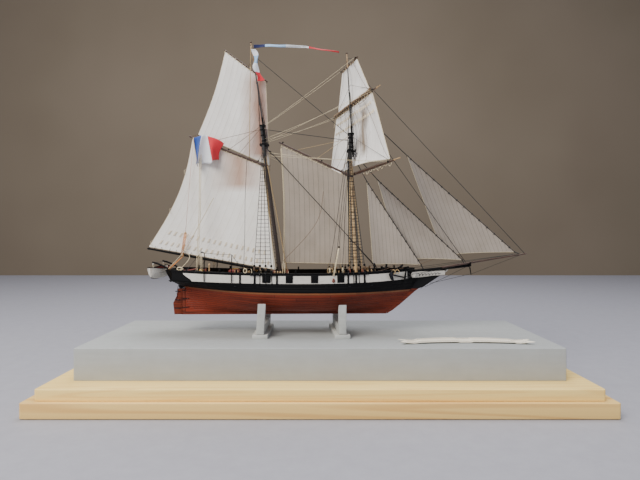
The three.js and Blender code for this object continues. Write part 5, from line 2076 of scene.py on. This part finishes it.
def build_gaskets():
    """Gasket turns and a rolled bunt of canvas along the topsail yard."""
    start, end = yard_ends("topsail_yard")
    aim = (end - start).normalized()
    back = Vector((-aim.y, aim.x, 0))
    back = back if back.x < 0 else -back
    roll = [start.lerp(end, s) + back * (2.0 + 0.35 * math.sin(33 * s)) * MM
            + Z * (1.7 + 0.3 * math.sin(21 * s)) * MM
            for s in stretch(0.06, 0.94, 40)]
    piece = cordage("bunt_roll", [roll], 1.15 * MM, 10)
    fit_out(piece, "brown_line", body="fore_yards")
    turns = []
    for s in stretch(0.08, 0.92, 16):
        matrix = facing(start.lerp(end, s) + back * 1.1 * MM + Z * 0.9 * MM, aim)
        turns.append(loop_of(matrix, 2.6 * MM, 2.3 * MM, 0.5 * MM, 12))
    rig("topsail_yard_gaskets", turns, 0.2, "tan_line", body="fore_yards")


def build_main_running():
    """Sheet, vangs, topping lifts, halyards and the signal halyard that work the main sails."""
    boom_a, boom_b = spar_ends("main_boom", -X)
    gaff_a, gaff_b = spar_ends("main_gaff", -X)
    on_boom = lambda x: boom_a.lerp(boom_b, (x * MM - boom_a.x) / (boom_b.x - boom_a.x))
    on_gaff = lambda x: gaff_a.lerp(gaff_b, (x * MM - gaff_a.x) / (gaff_b.x - gaff_a.x))
    sheet_low = vec(-175, -10, 135.4)
    sheet_top = on_boom(-161) - Y * 2.2 * MM
    sheet = [[sheet_low + X * d * MM, sheet_top + X * d * 0.7 * MM - Z * MM] for d in (-0.6, 0, 0.6)]
    across_joint("main_sheet", sheet, 0.26 * MM, "orange_line")
    rig_blocks("main_sheet_low_block", [(sheet_low, Z)], "ship", 2.6 * MM, "light_spar")
    rig_blocks("main_sheet_boom_block", [(sheet_top, Z)], "main_spars", 2.6 * MM, "light_spar")

    starboard_off = -Y * 3.2 * MM
    peak = on_gaff(-149) + starboard_off * 0.7
    lift_block = vec(-157.5, -5.5, 177)
    rig("topping_pendant", [[peak, lift_block]], 0.26, "pink_line", sides=6, body="main_spars")
    tackle = [[lift_block + X * d * MM, on_boom(-162) + starboard_off + X * d * MM]
              for d in (-1.3, -0.45, 0.45, 1.3)]
    rig("topping_tackle", tackle, 0.36, "orange_line", sides=6, body="main_spars")
    rig_blocks("topping_blocks", [(lift_block, Z), (on_boom(-162) + starboard_off, Z)], "main_spars",
               2.8 * MM, "light_spar")

    signal = []
    for d in (0, 1.6):
        signal.append([on_gaff(-141) + starboard_off * 1.2 + X * d * MM, *stretch_points(
            vec(-140 + d, -12, 200), SIDE.at((-139 + d) * MM, RAIL_HIGH, -2 * MM, STARBOARD), 4)])
    across_joint("signal_halyards", signal, 0.4 * MM, "cream_line")
    vang = [rounded([vec(-124, -7.5, 218), vec(-141, -9, 186), vec(-156, -11, 158),
                     vec(-174, -16, 136)]),
            rounded([vec(-156, -11, 158), vec(-150, -16, 148),
                     SIDE.at(-158 * MM, RAIL_HIGH, 0, STARBOARD)])]
    across_joint("boom_guy", vang, 0.36 * MM, "cream_line")
    dark = [rounded([on_gaff(-86) + starboard_off * 0.5, vec(-86.5, -12, 220), vec(-85, -26, 170),
                     SIDE.at(-85 * MM, RAIL_HIGH, 0, STARBOARD)])]
    across_joint("gaff_vang", dark, 0.28 * MM, "tarred_line")

    lift = stretch_points(MAIN.at(300 * MM, -2 * MM, 2 * MM), on_boom(-196) + Y * 6 * MM, 5)
    peak_halyard = [[MAIN.at(302 * MM, -2.2 * MM), on_gaff(-108) + Z * 1.6 * MM],
                    [MAIN.at(299 * MM, -2.2 * MM), on_gaff(-132) + Z * 1.6 * MM],
                    [MAIN.at(272 * MM, -2.4 * MM), on_gaff(-73) + Z * 1.6 * MM]]
    rig("main_topping_lift", [lift], 0.22, "brown_line", body="main_spars")
    rig("main_peak_halyards", peak_halyard, 0.24, "brown_line", body="main_spars")
    rig_blocks("main_peak_blocks", [(a[1] + Z * 0.8 * MM, a[0] - a[1]) for a in peak_halyard], "main_spars",
               2.0 * MM)

    down = MAIN.upper(397 * MM, -0.8 * MM, -1.6 * MM)
    tan = [down, vec(-81.5, -4.2, 372), vec(-82.2, -4.4, 330), on_gaff(-83) - Y * 2.4 * MM + Z * 1.2 * MM]
    rig("flag_halyard", [stretch_points(a, b, 3) for a, b in zip(tan, tan[1:])], 0.42, "tan_line", sides=6,
        body="main_spars")
    topsail = SAILS["gaff_topsail"]
    halyard = [MAIN.upper(384 * MM, -0.8 * MM, 0.8 * MM), topsail.at(0.45, 1.0) - Y * 1.2 * MM]
    tack_line = [topsail.corners[0], MAIN.at(250 * MM, 3.4 * MM, 0.6 * MM)]
    outhaul = [topsail.corners[1], on_gaff(-153)]
    rig("topsail_gear", [halyard, tack_line, outhaul], 0.24, "brown_line", body="main_spars")
    sail = SAILS["mainsail"]
    stops = []
    for up in (0.06, 0.36, 0.72):
        a = sail.at(1, up) - Y * 0.6 * MM
        stops.append(rounded([a, a + vec(-2.4, -0.6, -1.4), a + vec(-2.0, -0.8, -4.6),
                              a + vec(-0.6, -0.6, -6.8)], 4))
    rig("leech_pendants", stops, 0.2, "cream_line", body="main_spars")


def build_fore_running():
    """The foresail's sheet and halyards, and the tackle that hangs by the fore shrouds."""
    gaff_a, gaff_b = spar_ends("fore_gaff", -X)
    on_gaff = lambda x: gaff_a.lerp(gaff_b, (x * MM - gaff_a.x) / (gaff_b.x - gaff_a.x))
    foresail = SAILS["foresail"]
    leech = [foresail.at(1, s) + vec(-0.9, -0.6, 0) for s in stretch(0.98, 0.02, 16)]
    deck = Vector((-44 * MM, -6 * MM, SIDE.at(-44 * MM).z + 2 * MM))
    sheet = [*leech, vec(-43.4, -3, 140), deck]
    rig("foresail_sheet", [sheet, [vec(-41.6, -1, 142), deck + X * 3 * MM]], 0.55, "cream_line", sides=6)
    halyards = [[FORE.at(291 * MM, -2.2 * MM), on_gaff(-4) + Z * 1.6 * MM],
                [FORE.at(288 * MM, -2.2 * MM), on_gaff(-26) + Z * 1.6 * MM],
                [FORE.at(266 * MM, -2.2 * MM), on_gaff(26) + Z * 1.6 * MM]]
    rig("fore_peak_halyards", halyards, 0.24, "tan_line")
    rig_blocks("fore_gaff_blocks", [(on_gaff(x) + Z * 1.8 * MM, Z + X * 0.4) for x in (-44, -4, 2, 26)],
               "ship", 2.2 * MM)
    pale_top, pale_foot = vec(21, -34, 161), SIDE.at(15 * MM, 9 * MM, 1.4 * MM, STARBOARD)
    tackle = [[pale_foot + X * d * MM, pale_top + X * d * 0.5 * MM] for d in (-0.7, 0, 0.7)]
    rig("rail_tackle", tackle, 0.3, "cream_line")
    pendant = [stretch_points(pale_top, FORE.at(276 * MM, 0, -2.4 * MM), 4)]
    rig("rail_tackle_pendant", pendant, 0.2, "tarred_line")
    rig_blocks("rail_tackle_blocks", [(pale_top, Z)], "ship", 2.4 * MM)
    rig_blocks("rail_tackle_foot", [(SIDE.at(15 * MM, 5.2 * MM, 1.5 * MM, STARBOARD), Z)], "ship", 2.6 * MM,
               "varnished_trim")
    build_headsail_sheets()


def build_headsail_sheets():
    """Sheets from each headsail to both rails."""
    lines = []
    for node, rail_x in (("fore_staysail", 55), ("jib", 66), ("outer_jib", 80)):
        clew = SAILS[node].corners[1]
        for side in (STARBOARD, PORT):
            rail = SIDE.at(rail_x * MM, RAIL_HIGH + 0.6 * MM, -2 * MM, side)
            lines.append(sagging(clew, rail, (1.0 if side == PORT else 3.4) * MM, 12))
    rig("headsail_sheets", lines, 0.24, "brown_line")


def build_mast_falls():
    """Halyard falls that come down beside each mast to the pins."""
    for mast in (MAIN, FORE):
        falls = []
        for k in range(7):
            side = STARBOARD if k % 2 else PORT
            ahead = (-7.5 if k < 3 else 7.5) * MM
            foot = Vector((mast.foot.x + ahead, side * (1.5 + 1.2 * (k % 3)) * MM, mast.foot.z + 10 * MM))
            falls.append(stretch_points(foot, mast.at(mast.top.z - (4 + 3 * k) * MM, ahead * 0.15,
                                                      side * 2 * MM), 6))
        rig(f"{mast.label}_halyard_falls", falls, 0.3, "tan_line")
        coils = []
        for k in range(5):
            for ahead in (-7.5, 7.5):
                if mast is MAIN and ahead < 0:
                    continue                                   # the boom swings over these pins
                spot = Vector((mast.foot.x + ahead * MM + (-0.9 if ahead < 0 else 0.9) * MM,
                               (k - 2) * 2.3 * MM, mast.foot.z + 7.2 * MM))
                coils.append(coil(spot, 1.9 * MM, 5.2 * MM, 2, X))
        rig(f"{mast.label}_pin_coils", coils, 0.28, "cream_line")


# ------------------------------------------------------------------ deck fittings
def deck_at(x, y=0.0, up=0.0):
    """A point on the deck planking."""
    return Vector((x * MM, y * MM, SIDE.at(x * MM).z + (1.3 + up) * MM))


def build_companion():
    """The companion: a panelled box with a raised, tapered top and brass rods over it."""
    low, high = (Vector(c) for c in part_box("companion"))
    size, centre = high - low, (low + high) / 2

    def shape(piece):
        bpy.ops.mesh.select_all(action="SELECT")
        for aim in (X, -X, Y, -Y):
            select_faces(piece, lambda spot, normal: normal.dot(aim) > 0.9)
            bpy.ops.mesh.inset(thickness=1.1 * MM, depth=-0.35 * MM)
        select_faces(piece, lambda spot, normal: normal.z > 0.9)
        bpy.ops.mesh.extrude_region_move(TRANSFORM_OT_translate={"value": (0, 0, 1.0 * MM)})
        bpy.ops.transform.resize(value=(0.9, 0.7, 1), center_override=tuple(centre + Z * (size.z / 2 + MM)))

    body = block("companion_box", (size.x, size.y, size.z - 1 * MM), centre - Z * 0.5 * MM, shape,
                 0.15 * MM)
    fit_out(body, "red_paint", replaces=("companion",))
    rods = []
    for k in range(5):
        y = (k - 2) * 1.7 * MM
        rods.append([Vector((low.x + 1.2 * MM, y, high.z + 0.9 * MM)),
                     Vector((high.x - 1.2 * MM, y, high.z + 0.9 * MM))])
    rig("companion_rods", rods, 0.2, "brass", sides=6)


def build_binnacle():
    """The binnacle on its stand, the brass dome and the post beside it, and the helmsman's bench."""
    low, high = (Vector(c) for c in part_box("binnacle"))
    size, centre = high - low, (low + high) / 2

    def shape(piece):
        for aim in (X, -X):
            select_faces(piece, lambda spot, normal: normal.dot(aim) > 0.9)
            bpy.ops.mesh.inset(thickness=0.7 * MM, depth=-0.3 * MM)

    stand_box = block("binnacle_stand", size * 0.96, centre, shape, 0.2 * MM)
    fit_out(stand_box, "varnished_trim", replaces=("binnacle",))
    dome = pairs((0, 2.9), (0.5, 3.0))
    dome += [(0.5 * MM + 2.8 * MM * math.sin(a), max(2.9 * MM * math.cos(a), 0.15 * MM))
             for a in stretch(0.1, math.pi / 2, 7)]
    fit_out(stand(turned("binnacle_dome", dome, 20), deck_at(-139, -6, 9.0), Z), "brass")
    post = turned("post", pairs((0, 0.9), (6, 0.7), (6.4, 1.1), (8, 1.0), (9, 0.3)), 12)
    fit_out(stand(post, deck_at(-130, -4, 9.5), Z), "light_spar")
    post.name = "sundial_post"
    bench = block("helm_bench", vec(5, 15, 9), deck_at(-139, -3, 4.5), bevel=0.3 * MM)
    fit_out(bench, "black_paint")


def build_hatches():
    """Coamings with their gratings."""
    low, high = (Vector(c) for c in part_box("main_hatch"))
    for name, centre, size, node in (("main_hatch_coaming", (low + high) / 2, high - low, ("main_hatch",)),
                                     ("fore_hatch_coaming", deck_at(60, 0, 1.3), vec(11, 12, 2.6), ()),
                                     ("after_hatch_coaming", deck_at(-118, 0, 1.3), vec(10, 11, 2.6), ())):
        def shape(piece):
            select_faces(piece, lambda spot, normal: normal.z > 0.9)
            bpy.ops.mesh.inset(thickness=1.1 * MM)
            bpy.ops.mesh.extrude_region_move(TRANSFORM_OT_translate={"value": (0, 0, -0.9 * MM)})
        fit_out(block(name, size, centre, shape, 0.2 * MM), "dark_spar", replaces=node)
        bars, top = [], centre.z + size.z / 2 - 0.25 * MM
        for x in stretch(centre.x - size.x / 2 + 1.6 * MM, centre.x + size.x / 2 - 1.6 * MM,
                         round(size.x / (1.7 * MM))):
            bars.append([Vector((x, centre.y - size.y / 2 + 1.2 * MM, top)),
                         Vector((x, centre.y + size.y / 2 - 1.2 * MM, top))])
        for y in stretch(centre.y - size.y / 2 + 1.6 * MM, centre.y + size.y / 2 - 1.6 * MM,
                         round(size.y / (1.7 * MM))):
            bars.append([Vector((centre.x - size.x / 2 + 1.2 * MM, y, top)),
                         Vector((centre.x + size.x / 2 - 1.2 * MM, y, top))])
        rig(name.replace("coaming", "grating"), bars, 0.4, "light_spar", sides=4)


def build_windlass():
    """The windlass between its bitts, with its pawl bitt, and the bell on the posts abaft it."""
    place = deck_at(74, 0, 7)
    profile = pairs((-12, 1.0), (-11.6, 1.9), (-9, 1.9), (-8.8, 1.5), (-6.4, 2.0), (-1.4, 2.1), (-1.2, 2.8),
                    (1.2, 2.8), (1.4, 2.1), (6.4, 2.0), (8.8, 1.5), (9, 1.9), (11.6, 1.9), (12, 1.0))
    barrel = stand(turned("windlass_barrel", profile, 8, 25), place, Y)
    fit_out(barrel, "dark_spar")
    parts = []
    for y in (-8, 8):
        parts.append(block("bitt", vec(2.6, 1.6, 14), deck_at(74, y, 7), bevel=0.35 * MM))
    parts.append(block("pawl_bitt", vec(2.2, 2.2, 17), deck_at(78.5, 0, 8.5), bevel=0.4 * MM))
    parts.append(block("cross_rail", vec(1.6, 18, 1.4), deck_at(78.5, 0, 13), bevel=0.3 * MM))
    for y in (-5, 5):
        parts.append(block("knee", vec(6, 1.4, 6), deck_at(70, y, 3), bevel=0.5 * MM))
    fit_out(joined("windlass_bitts", parts), "black_paint")
    bell = pairs((0, 2.2), (0.5, 2.0), (1.2, 1.5), (2.8, 1.2), (3.4, 0.9), (3.8, 0.3))
    fit_out(stand(turned("ships_bell", bell, 18), deck_at(64, -3, 15.2), Z), "iron")
    frame_parts = [block("belfry_post", vec(1.4, 1.2, 15.5), deck_at(64, y, 7.7), bevel=0.3 * MM)
                   for y in (-6.4, 0.6)]
    fit_out(joined("belfry_posts", frame_parts), "black_paint")


def build_pumps_and_bitts():
    """Pumps, timberheads, rail pins and coils."""
    parts = []
    for side in (STARBOARD, PORT):
        pump = turned("pump", pairs((0, 1.3), (7, 1.2), (7.2, 1.5), (8, 1.5), (8.4, 0.5)), 12)
        parts.append(stand(pump, deck_at(-61, side * 4.4), Z))
        brake = block("brake", vec(7, 0.8, 0.8), deck_at(-63, side * 4.4, 9), bevel=0.2 * MM)
        parts.append(brake)
    fit_out(joined("deck_pumps", parts), "black_paint")
    timber = []
    for x in (-150, -112, -93, -27, 12, 28, 56, 61, 90):
        for side in (STARBOARD, PORT):
            head = SIDE.at(x * MM, RAIL_HIGH, -1.2 * MM, side)
            timber.append(block("timberhead", vec(1.7, 1.7, 3.4), head + Z * 1.5 * MM, bevel=0.35 * MM))
    fit_out(joined("timberheads", timber), "black_paint")
    for side, label in SIDE_NAMES.items():
        pins, coils = [], []
        for x in (-95, -91.5, -82, -79, -50, -47, -44, 13, 17, 21, 27, 54, 58, 62):
            spot = SIDE.at(x * MM, RAIL_HIGH, -2.0 * MM, side)
            pin = belaying_pin()
            pin.data.transform(Matrix.Translation(spot))
            pins.append(pin)
            if x in (-82, -79, -44, 13, 17, 58):
                coils.append(coil(spot - Y * side * 1.4 * MM - Z * 0.6 * MM, 2.2 * MM, 5.0 * MM, 2, Y))
        fit_out(joined("rail_pins_" + label, pins), "light_spar")
        rig("rail_coils_" + label, coils, 0.3, "tan_line")


def build_rail_details():
    """Scuppers, the near rail's coils, ring and hooked falls, and the rosettes on the head boards."""
    scuppers = []
    for x in (-94, -68, -44, -21, 7, 33, 58):
        for side in (STARBOARD, PORT):
            for d in (-0.7, 0.7):
                port = turned("scupper", pairs((0, 0.5), (0.35, 0.5), (0.36, 0.3), (0.1, 0.25)), 10)
                scuppers.append(stand(port, SIDE.at(x * MM + d * MM, -2.8 * MM, 0.4 * MM, side), Y * side))
    fit_out(joined("scuppers", scuppers), "iron")
    ring = SIDE.at(-158 * MM, RAIL_HIGH + 1.4 * MM, -0.5 * MM, STARBOARD)
    ring_line = [ring + Vector((3.0 * MM * math.cos(a), 0, 1.7 * MM * math.sin(a)))
                 for a in stretch(0, 2 * math.pi, 20)]
    rig("quarter_rope_ring", [ring_line], 0.6, "cream_line", sides=8)
    coils = [coil(SIDE.at(-83 * MM, RAIL_HIGH + 2.2 * MM, 0.3 * MM, STARBOARD), 3.6 * MM, 5.0 * MM, 3, Y)]
    rig("white_coil", coils, 0.5, "cream_line", sides=6)
    hooks = []
    for x in (-76.5, -66.5):
        top = SIDE.at(x * MM, RAIL_HIGH + 4.6 * MM, 0.6 * MM, STARBOARD)
        hooks.append(rounded([top, top + vec(0.9, 0, -2), top + vec(0.7, 0, -4.6), top + vec(-0.4, 0, -5.8),
                              top + vec(-1.3, 0, -5.0)], 4))
    rig("white_hooked_falls", hooks, 0.4, "cream_line", sides=6)
    knob = turned("rail_eyebolt", pairs((-0.3, 1.6), (0.6, 1.8), (1.2, 1.2), (1.6, 0.4)), 14)
    fit_out(stand(knob, SIDE.at(15 * MM, 3.4 * MM, 0.4 * MM, STARBOARD), -Y), "varnished_trim")
    rosettes = []
    for side in (STARBOARD, PORT):
        rosette = turned("rosette", pairs((-0.4, 2.9), (0.4, 2.9), (0.7, 2.2), (0.4, 1.7), (0.8, 1.0),
                                          (1.0, 0.3)), 18)
        board = [Vector(c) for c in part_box("head_board_" + SIDE_NAMES[side])]
        outer = min(board[0].y, board[1].y) if side < 0 else max(board[0].y, board[1].y)
        rosettes.append(stand(rosette, Vector((board[0].x + 1.5 * MM, outer, 128.2 * MM)), Y * side))
    fit_out(joined("bow_rosettes", rosettes), "white_paint")
    tan_coils = [coil(deck_at(x, -24, 9), 4.4 * MM, 4.6 * MM, 3, Y + X * 0.3) for x in (83, 87.5)]
    tan_coils += [coil(SIDE.at(x * MM, RAIL_HIGH + 2.6 * MM, -1.6 * MM, STARBOARD), 2.6 * MM, 5.2 * MM, 2,
                       Y) for x in (9.5, 13)]
    rig("foredeck_coils", tan_coils, 0.34, "tan_line", sides=6)


# ------------------------------------------------------------------ boats, davits and anchors
def build_quarter_davits():
    """Iron davits at each quarter with a span wire, a guy and double falls."""
    for side, label in SIDE_NAMES.items():
        davits, wires, falls = [], [], []
        tops = []
        for x, height, hook in ((-129, 23.5, -3.6), (-98, 25.0, 0.0)):
            heel = SIDE.at(x * MM, 1.0 * MM, 1.5 * MM, side)
            line = [heel, heel + Z * 8 * MM, heel + vec(0.6, side * 0.6, height + 6)]
            if hook:
                top = line[-1]
                line += [top + vec(hook * 0.25, side * 0.8, 2.6), top + vec(hook * 0.7, side * 1.4, 3.6),
                         top + vec(hook, side * 1.8, 2.6)]
            davits.append(rounded(line, 5))
            tops.append(davits[-1][-1] if hook else line[-1])
        rig("quarter_davits_" + label, davits, 0.55, "black_paint", sides=8)
        wires.append(sagging(tops[0], tops[1], 0.3 * MM))
        wires.append([tops[1], SIDE.at(-84 * MM, RAIL_HIGH, 0, side)])
        wires.append([tops[0], SIDE.at(-150 * MM, RAIL_HIGH, 0, side)])
        rig("davit_guys_" + label, wires, 0.22, "tarred_line")
        for d in (-1.1, 0.0, 1.1):
            falls.append([tops[0] + vec(d, 0, -0.4), SIDE.at((-132.5 + d) * MM, RAIL_HIGH, 0.6 * MM, side)])
        rig("davit_falls_" + label, falls, 0.3, "cream_line")


def boat_section(s, low, high):
    """Half-breadth, sheer height and keel height of the boat at a share of its length."""
    across = 2 * s - 1
    full = max(1 - abs(across) ** 2.6, 0.0) ** 0.8
    middle_z = high.z - 2.2 * MM
    sheer, keel = middle_z + 2.4 * MM * across ** 2, low.z + 2.2 * MM * abs(across) ** 3
    return (high.x - low.x) / 2 * max(full, 0.06), sheer, keel


def build_boat():
    """The stern boat: six lapped strakes a side, a black gunwale and keel, a red lining and four thwarts."""
    low, high = (Vector(c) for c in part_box("ship_boat"))
    centre_x = (low.x + high.x) / 2
    points = []
    strakes, stations = 6, 36
    rows = []
    for k in range(strakes):
        rows += [(k / strakes, 0.0), ((k + 0.9) / strakes, 0.32 * MM)]
    rows.append((1.0, 0.0))
    rows = [(-t, o) for t, o in reversed(rows)] + rows[1:]
    for i in range(stations + 1):
        s = i / stations
        half, top, keel = boat_section(s, low, high)
        for t, lap in rows:
            angle = abs(t) * math.pi / 2
            out = half * math.sin(angle) ** 0.75 + lap * min(half / MM / 3, 1)
            z = top - (top - keel) * math.cos(angle) ** 1.25
            points.append(Vector((centre_x + math.copysign(out, t) if t else centre_x,
                                  low.y + (high.y - low.y) * s, z)))
    hull = new_mesh("stern_boat_hull", points, grid_faces(stations, len(rows) - 1))
    with_modifier(hull, "SOLIDIFY", thickness=0.5 * MM, offset=-1)
    recalculate(hull)
    smooth(hull, 35)
    fit_out(hull, "white_paint", replaces=("ship_boat",))
    sections = [boat_section(s, low, high) for s in stretch(0.04, 0.96, 30)]
    ys = stretch(low.y + 0.04 * (high.y - low.y), low.y + 0.96 * (high.y - low.y), 30)
    lining = []
    for (half, top, keel), y in zip(sections, ys):
        for t in stretch(-1, 1, 14):
            angle = abs(t) * math.pi / 2
            out = max(half - 0.75 * MM, 0.05 * MM) * math.sin(angle) ** 0.75
            z = top - (top - keel - 0.9 * MM) * math.cos(angle) ** 1.25 - 0.1 * MM
            lining.append(Vector((centre_x + math.copysign(out, t), y, z)))
    piece = new_mesh("stern_boat_lining", lining, grid_faces(len(ys) - 1, 14, flip=True))
    with_modifier(piece, "SOLIDIFY", thickness=0.2 * MM, offset=0)
    smooth(piece, 40)
    fit_out(piece, "red_paint")
    gunwales = []
    for side in (-1, 1):
        gunwales.append([Vector((centre_x + side * boat_section(s, low, high)[0],
                                 low.y + (high.y - low.y) * s, boat_section(s, low, high)[1] + 0.15 * MM))
                         for s in stretch(0.0, 1.0, 30)])
    keel_line = [Vector((centre_x, low.y + (high.y - low.y) * s, boat_section(s, low, high)[2] - 0.1 * MM))
                 for s in stretch(0, 1, 24)]
    rig("stern_boat_gunwale", [*gunwales, keel_line], 0.55, "black_paint", sides=6)
    seats = []
    for s in (0.2, 0.38, 0.56, 0.74):
        half, top, _ = boat_section(s, low, high)
        seat = block("thwart", (2 * half - 1.4 * MM, 3.2 * MM, 0.7 * MM),
                     (centre_x, low.y + (high.y - low.y) * s, top - 2.0 * MM), bevel=0.15 * MM)
        seats.append(seat)
    fit_out(joined("stern_boat_thwarts", seats), "varnished_trim")


def build_stern_davits():
    """The stern boat's davits, falls and blocks."""
    falls, places = [], []
    for label in SIDE_NAMES.values():
        node = "stern_davit_" + label
        start, end = spar_ends(node, -X)
        beam = cordage(node + "_beam", [rounded([start, start.lerp(end, 0.35) + Z * 0.9 * MM,
                                                start.lerp(end, 0.7) + Z * 1.0 * MM, end + Z * 0.3 * MM])],
                       1.05 * MM, 8)
        fit_out(beam, "black_paint", replaces=(node,))
        low = Vector((end.x + 1 * MM, end.y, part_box("ship_boat")[1][2] - 2 * MM))
        falls += [[end + X * (1 + d) * MM, low + X * d * MM] for d in (-0.6, 0.6)]
        places += [(end + X * MM - Z * 1.6 * MM, Z), (low + Z * 1.4 * MM, Z)]
    rig("stern_boat_falls", falls, 0.24, "cream_line")
    rig_blocks("stern_boat_blocks", places, "ship", 2.2 * MM, "white_paint")
    span = [sagging(spar_ends("stern_davit_port", -X)[1], spar_ends("stern_davit_starboard", -X)[1],
                    0.6 * MM)]
    rig("stern_davit_span", span, 0.22, "tarred_line")


def build_anchors():
    """Each anchor with its iron, a banded wooden stock, a ring and the cable up to the hawse."""
    for side, label in SIDE_NAMES.items():
        node = "anchor_" + label
        refined(node, node + "_iron", 0.3 * MM, "ship", "iron")
        low, high = (Vector(c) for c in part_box(node))
        ring_at = corner(node, (1, 0, 0))
        stock = turned("stock", banded(17 * MM, taper(0.75, 0.75, 0.35), [5 * MM, 8.5 * MM, 12 * MM],
                                       (0.9 * MM, 0.2 * MM), 8), 10)
        stand(stock, ring_at - X * 2.4 * MM - Z * 8 * MM - Y * side * 0.2 * MM, Z + X * 0.15)
        fit_out(stock, "black_paint")
        stock.name = f"anchor_stock_{label}"
        ring = [ring_at + Vector((1.5 * MM * math.cos(a) + 1.2 * MM, 0, 1.5 * MM * math.sin(a)))
                for a in stretch(0, 2 * math.pi, 14)]
        cable = rounded([ring_at + X * 2.4 * MM, ring_at + vec(6, 0, 1.4),
                         SIDE.at(103 * MM, 7 * MM, 0.9 * MM, side)])
        lashing = [SIDE.at(84 * MM, RAIL_HIGH, 0.3 * MM, side),
                   Vector((84 * MM, (low.y + high.y) / 2, high.z - 1 * MM))]
        rig(f"anchor_cable_{label}", [ring, cable, lashing], 0.4, "tarred_line", sides=6)


def build_tiller():
    """The tiller and the rudder's stock and bearding, and fillers where post, keel and stem meet."""
    start, end = spar_ends("tiller", X)
    line = [start, start.lerp(end, 0.5) - Z * 0.5 * MM, end, end + vec(0.6, 0, 1.1)]
    rig("tiller_bar", [rounded(line)], 0.75, "red_paint", sides=8, body="steering",
        replaces=("tiller",))
    stock_low = Vector((RUDDER_AXIS, 0, 111.2 * MM))
    stock = turned("stock", pairs((0, 1.15), (20, 1.15), (20.2, 1.8), (23, 1.8), (23.4, 1.2)), 14)
    fit_out(stand(stock, stock_low, Z), "iron", body="steering")
    stock.name = "rudder_stock"
    bead = turned("bead", pairs((0, 1.02), (30, 1.02)), 14)
    fit_out(stand(bead, Vector((RUDDER_AXIS, 0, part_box("rudder")[0][2])), Z), "hull_backbone",
            body="steering")
    bead.name = "rudder_bearding"
    post_low = Vector(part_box("keel")[0])
    filler = block("sternpost_cheek", (0.75 * MM, 2.2 * MM, 112 * MM - post_low.z), bevel=0.15 * MM)
    filler.data.transform(Matrix.Translation((post_low.x - 0.32 * MM, 0, (112 * MM + post_low.z) / 2)))
    fit_out(filler, "hull_backbone")
    head = block("sternpost_head", vec(9, 3.4, 5.6), bevel=0.6 * MM)
    head.data.transform(Matrix.Translation((-162 * MM, 0, 115.2 * MM)))
    fit_out(head, "black_paint")
    forefoot = block("forefoot_filler", vec(8, 1.6, 4), bevel=0.2 * MM)
    forefoot.data.transform(Matrix.Translation((78 * MM, 0, 86.1 * MM)))
    fit_out(forefoot, "hull_backbone")


build_base()
build_planking()
build_counter()
build_deck()
build_sides()
build_stern()
build_backbone()
build_head()
build_masts()
build_head_spars()
build_boom_and_gaffs()
build_yards()
SAILS = make_sails()
build_flags()
for mast in (MAIN, FORE):
    build_shrouds(mast)
    build_futtocks(mast)
build_stays()
build_backstays()
build_braces()
build_yard_lifts()
build_main_running()
build_fore_running()
build_mast_falls()
build_companion()
build_binnacle()
build_hatches()
build_windlass()
build_pumps_and_bitts()
build_rail_details()
build_quarter_davits()
build_boat()
build_stern_davits()
build_anchors()
build_tiller()


# ------------------------------------------------------------------ studio
def build_studio():
    """A pale floor and a grey backdrop standing behind it, under soft light from the upper left front."""
    clear_selection()
    bpy.ops.mesh.primitive_plane_add(size=1, location=(0, 0.35, -0.0005), scale=(1, 1, 1))
    floor = bpy.context.object
    floor.name = "floor"
    floor.scale = (8, 5, 1)
    settle(floor)
    floor_finish = Finish("floor", 0.85)
    tone = floor_finish.graph.noise(floor_finish.object, 60.0, 6.0, 0.7)
    floor_finish.set("Base Color", floor_finish.graph.mix(tone, srgb(164, 164, 172), srgb(146, 146, 155)))
    floor.data.materials.append(FINISHES["floor"])
    bpy.ops.mesh.primitive_plane_add(size=1, location=(0, 0, 0))
    wall = bpy.context.object
    wall.name = "backdrop"
    wall.data.transform(Matrix.Translation((0, 1.6, 1.4)) @ Matrix.Rotation(math.pi / 2, 4, "X")
                        @ Matrix.Diagonal((9, 4, 1, 1)))
    wall_finish = Finish("backdrop", 0.9)
    tone = wall_finish.graph.noise(wall_finish.object, 2.0, 2.0, 0.5)
    wall_finish.set("Base Color", wall_finish.graph.mix(tone, srgb(128, 116, 100), srgb(110, 98, 82)))
    wall.data.materials.append(FINISHES["backdrop"])

    world = bpy.data.worlds.new("studio")
    world.use_nodes = True
    world.node_tree.nodes["Background"].inputs[0].default_value = srgb(196, 200, 210)
    world.node_tree.nodes["Background"].inputs[1].default_value = 0.62
    bpy.context.scene.world = world
    for label, place, size, power, tone in (
            ("key", (-0.9, -1.1, 1.3), 1.0, 45, (255, 250, 242)),
            ("fill", (1.1, -1.2, 0.7), 1.2, 4, (236, 242, 255)),
            ("top", (0.1, 0.3, 1.7), 1.2, 26, (250, 250, 255))):
        light = bpy.data.lights.new(label, "AREA")
        light.size = size
        light.energy = power
        light.color = srgb(*tone)[:3]
        lamp = bpy.data.objects.new(label, light)
        lamp.location = place
        lamp.rotation_euler = (Vector((0, 0, 0.18)) - Vector(place)).to_track_quat("-Z", "Y").to_euler()
        bpy.context.collection.objects.link(lamp)


build_studio()
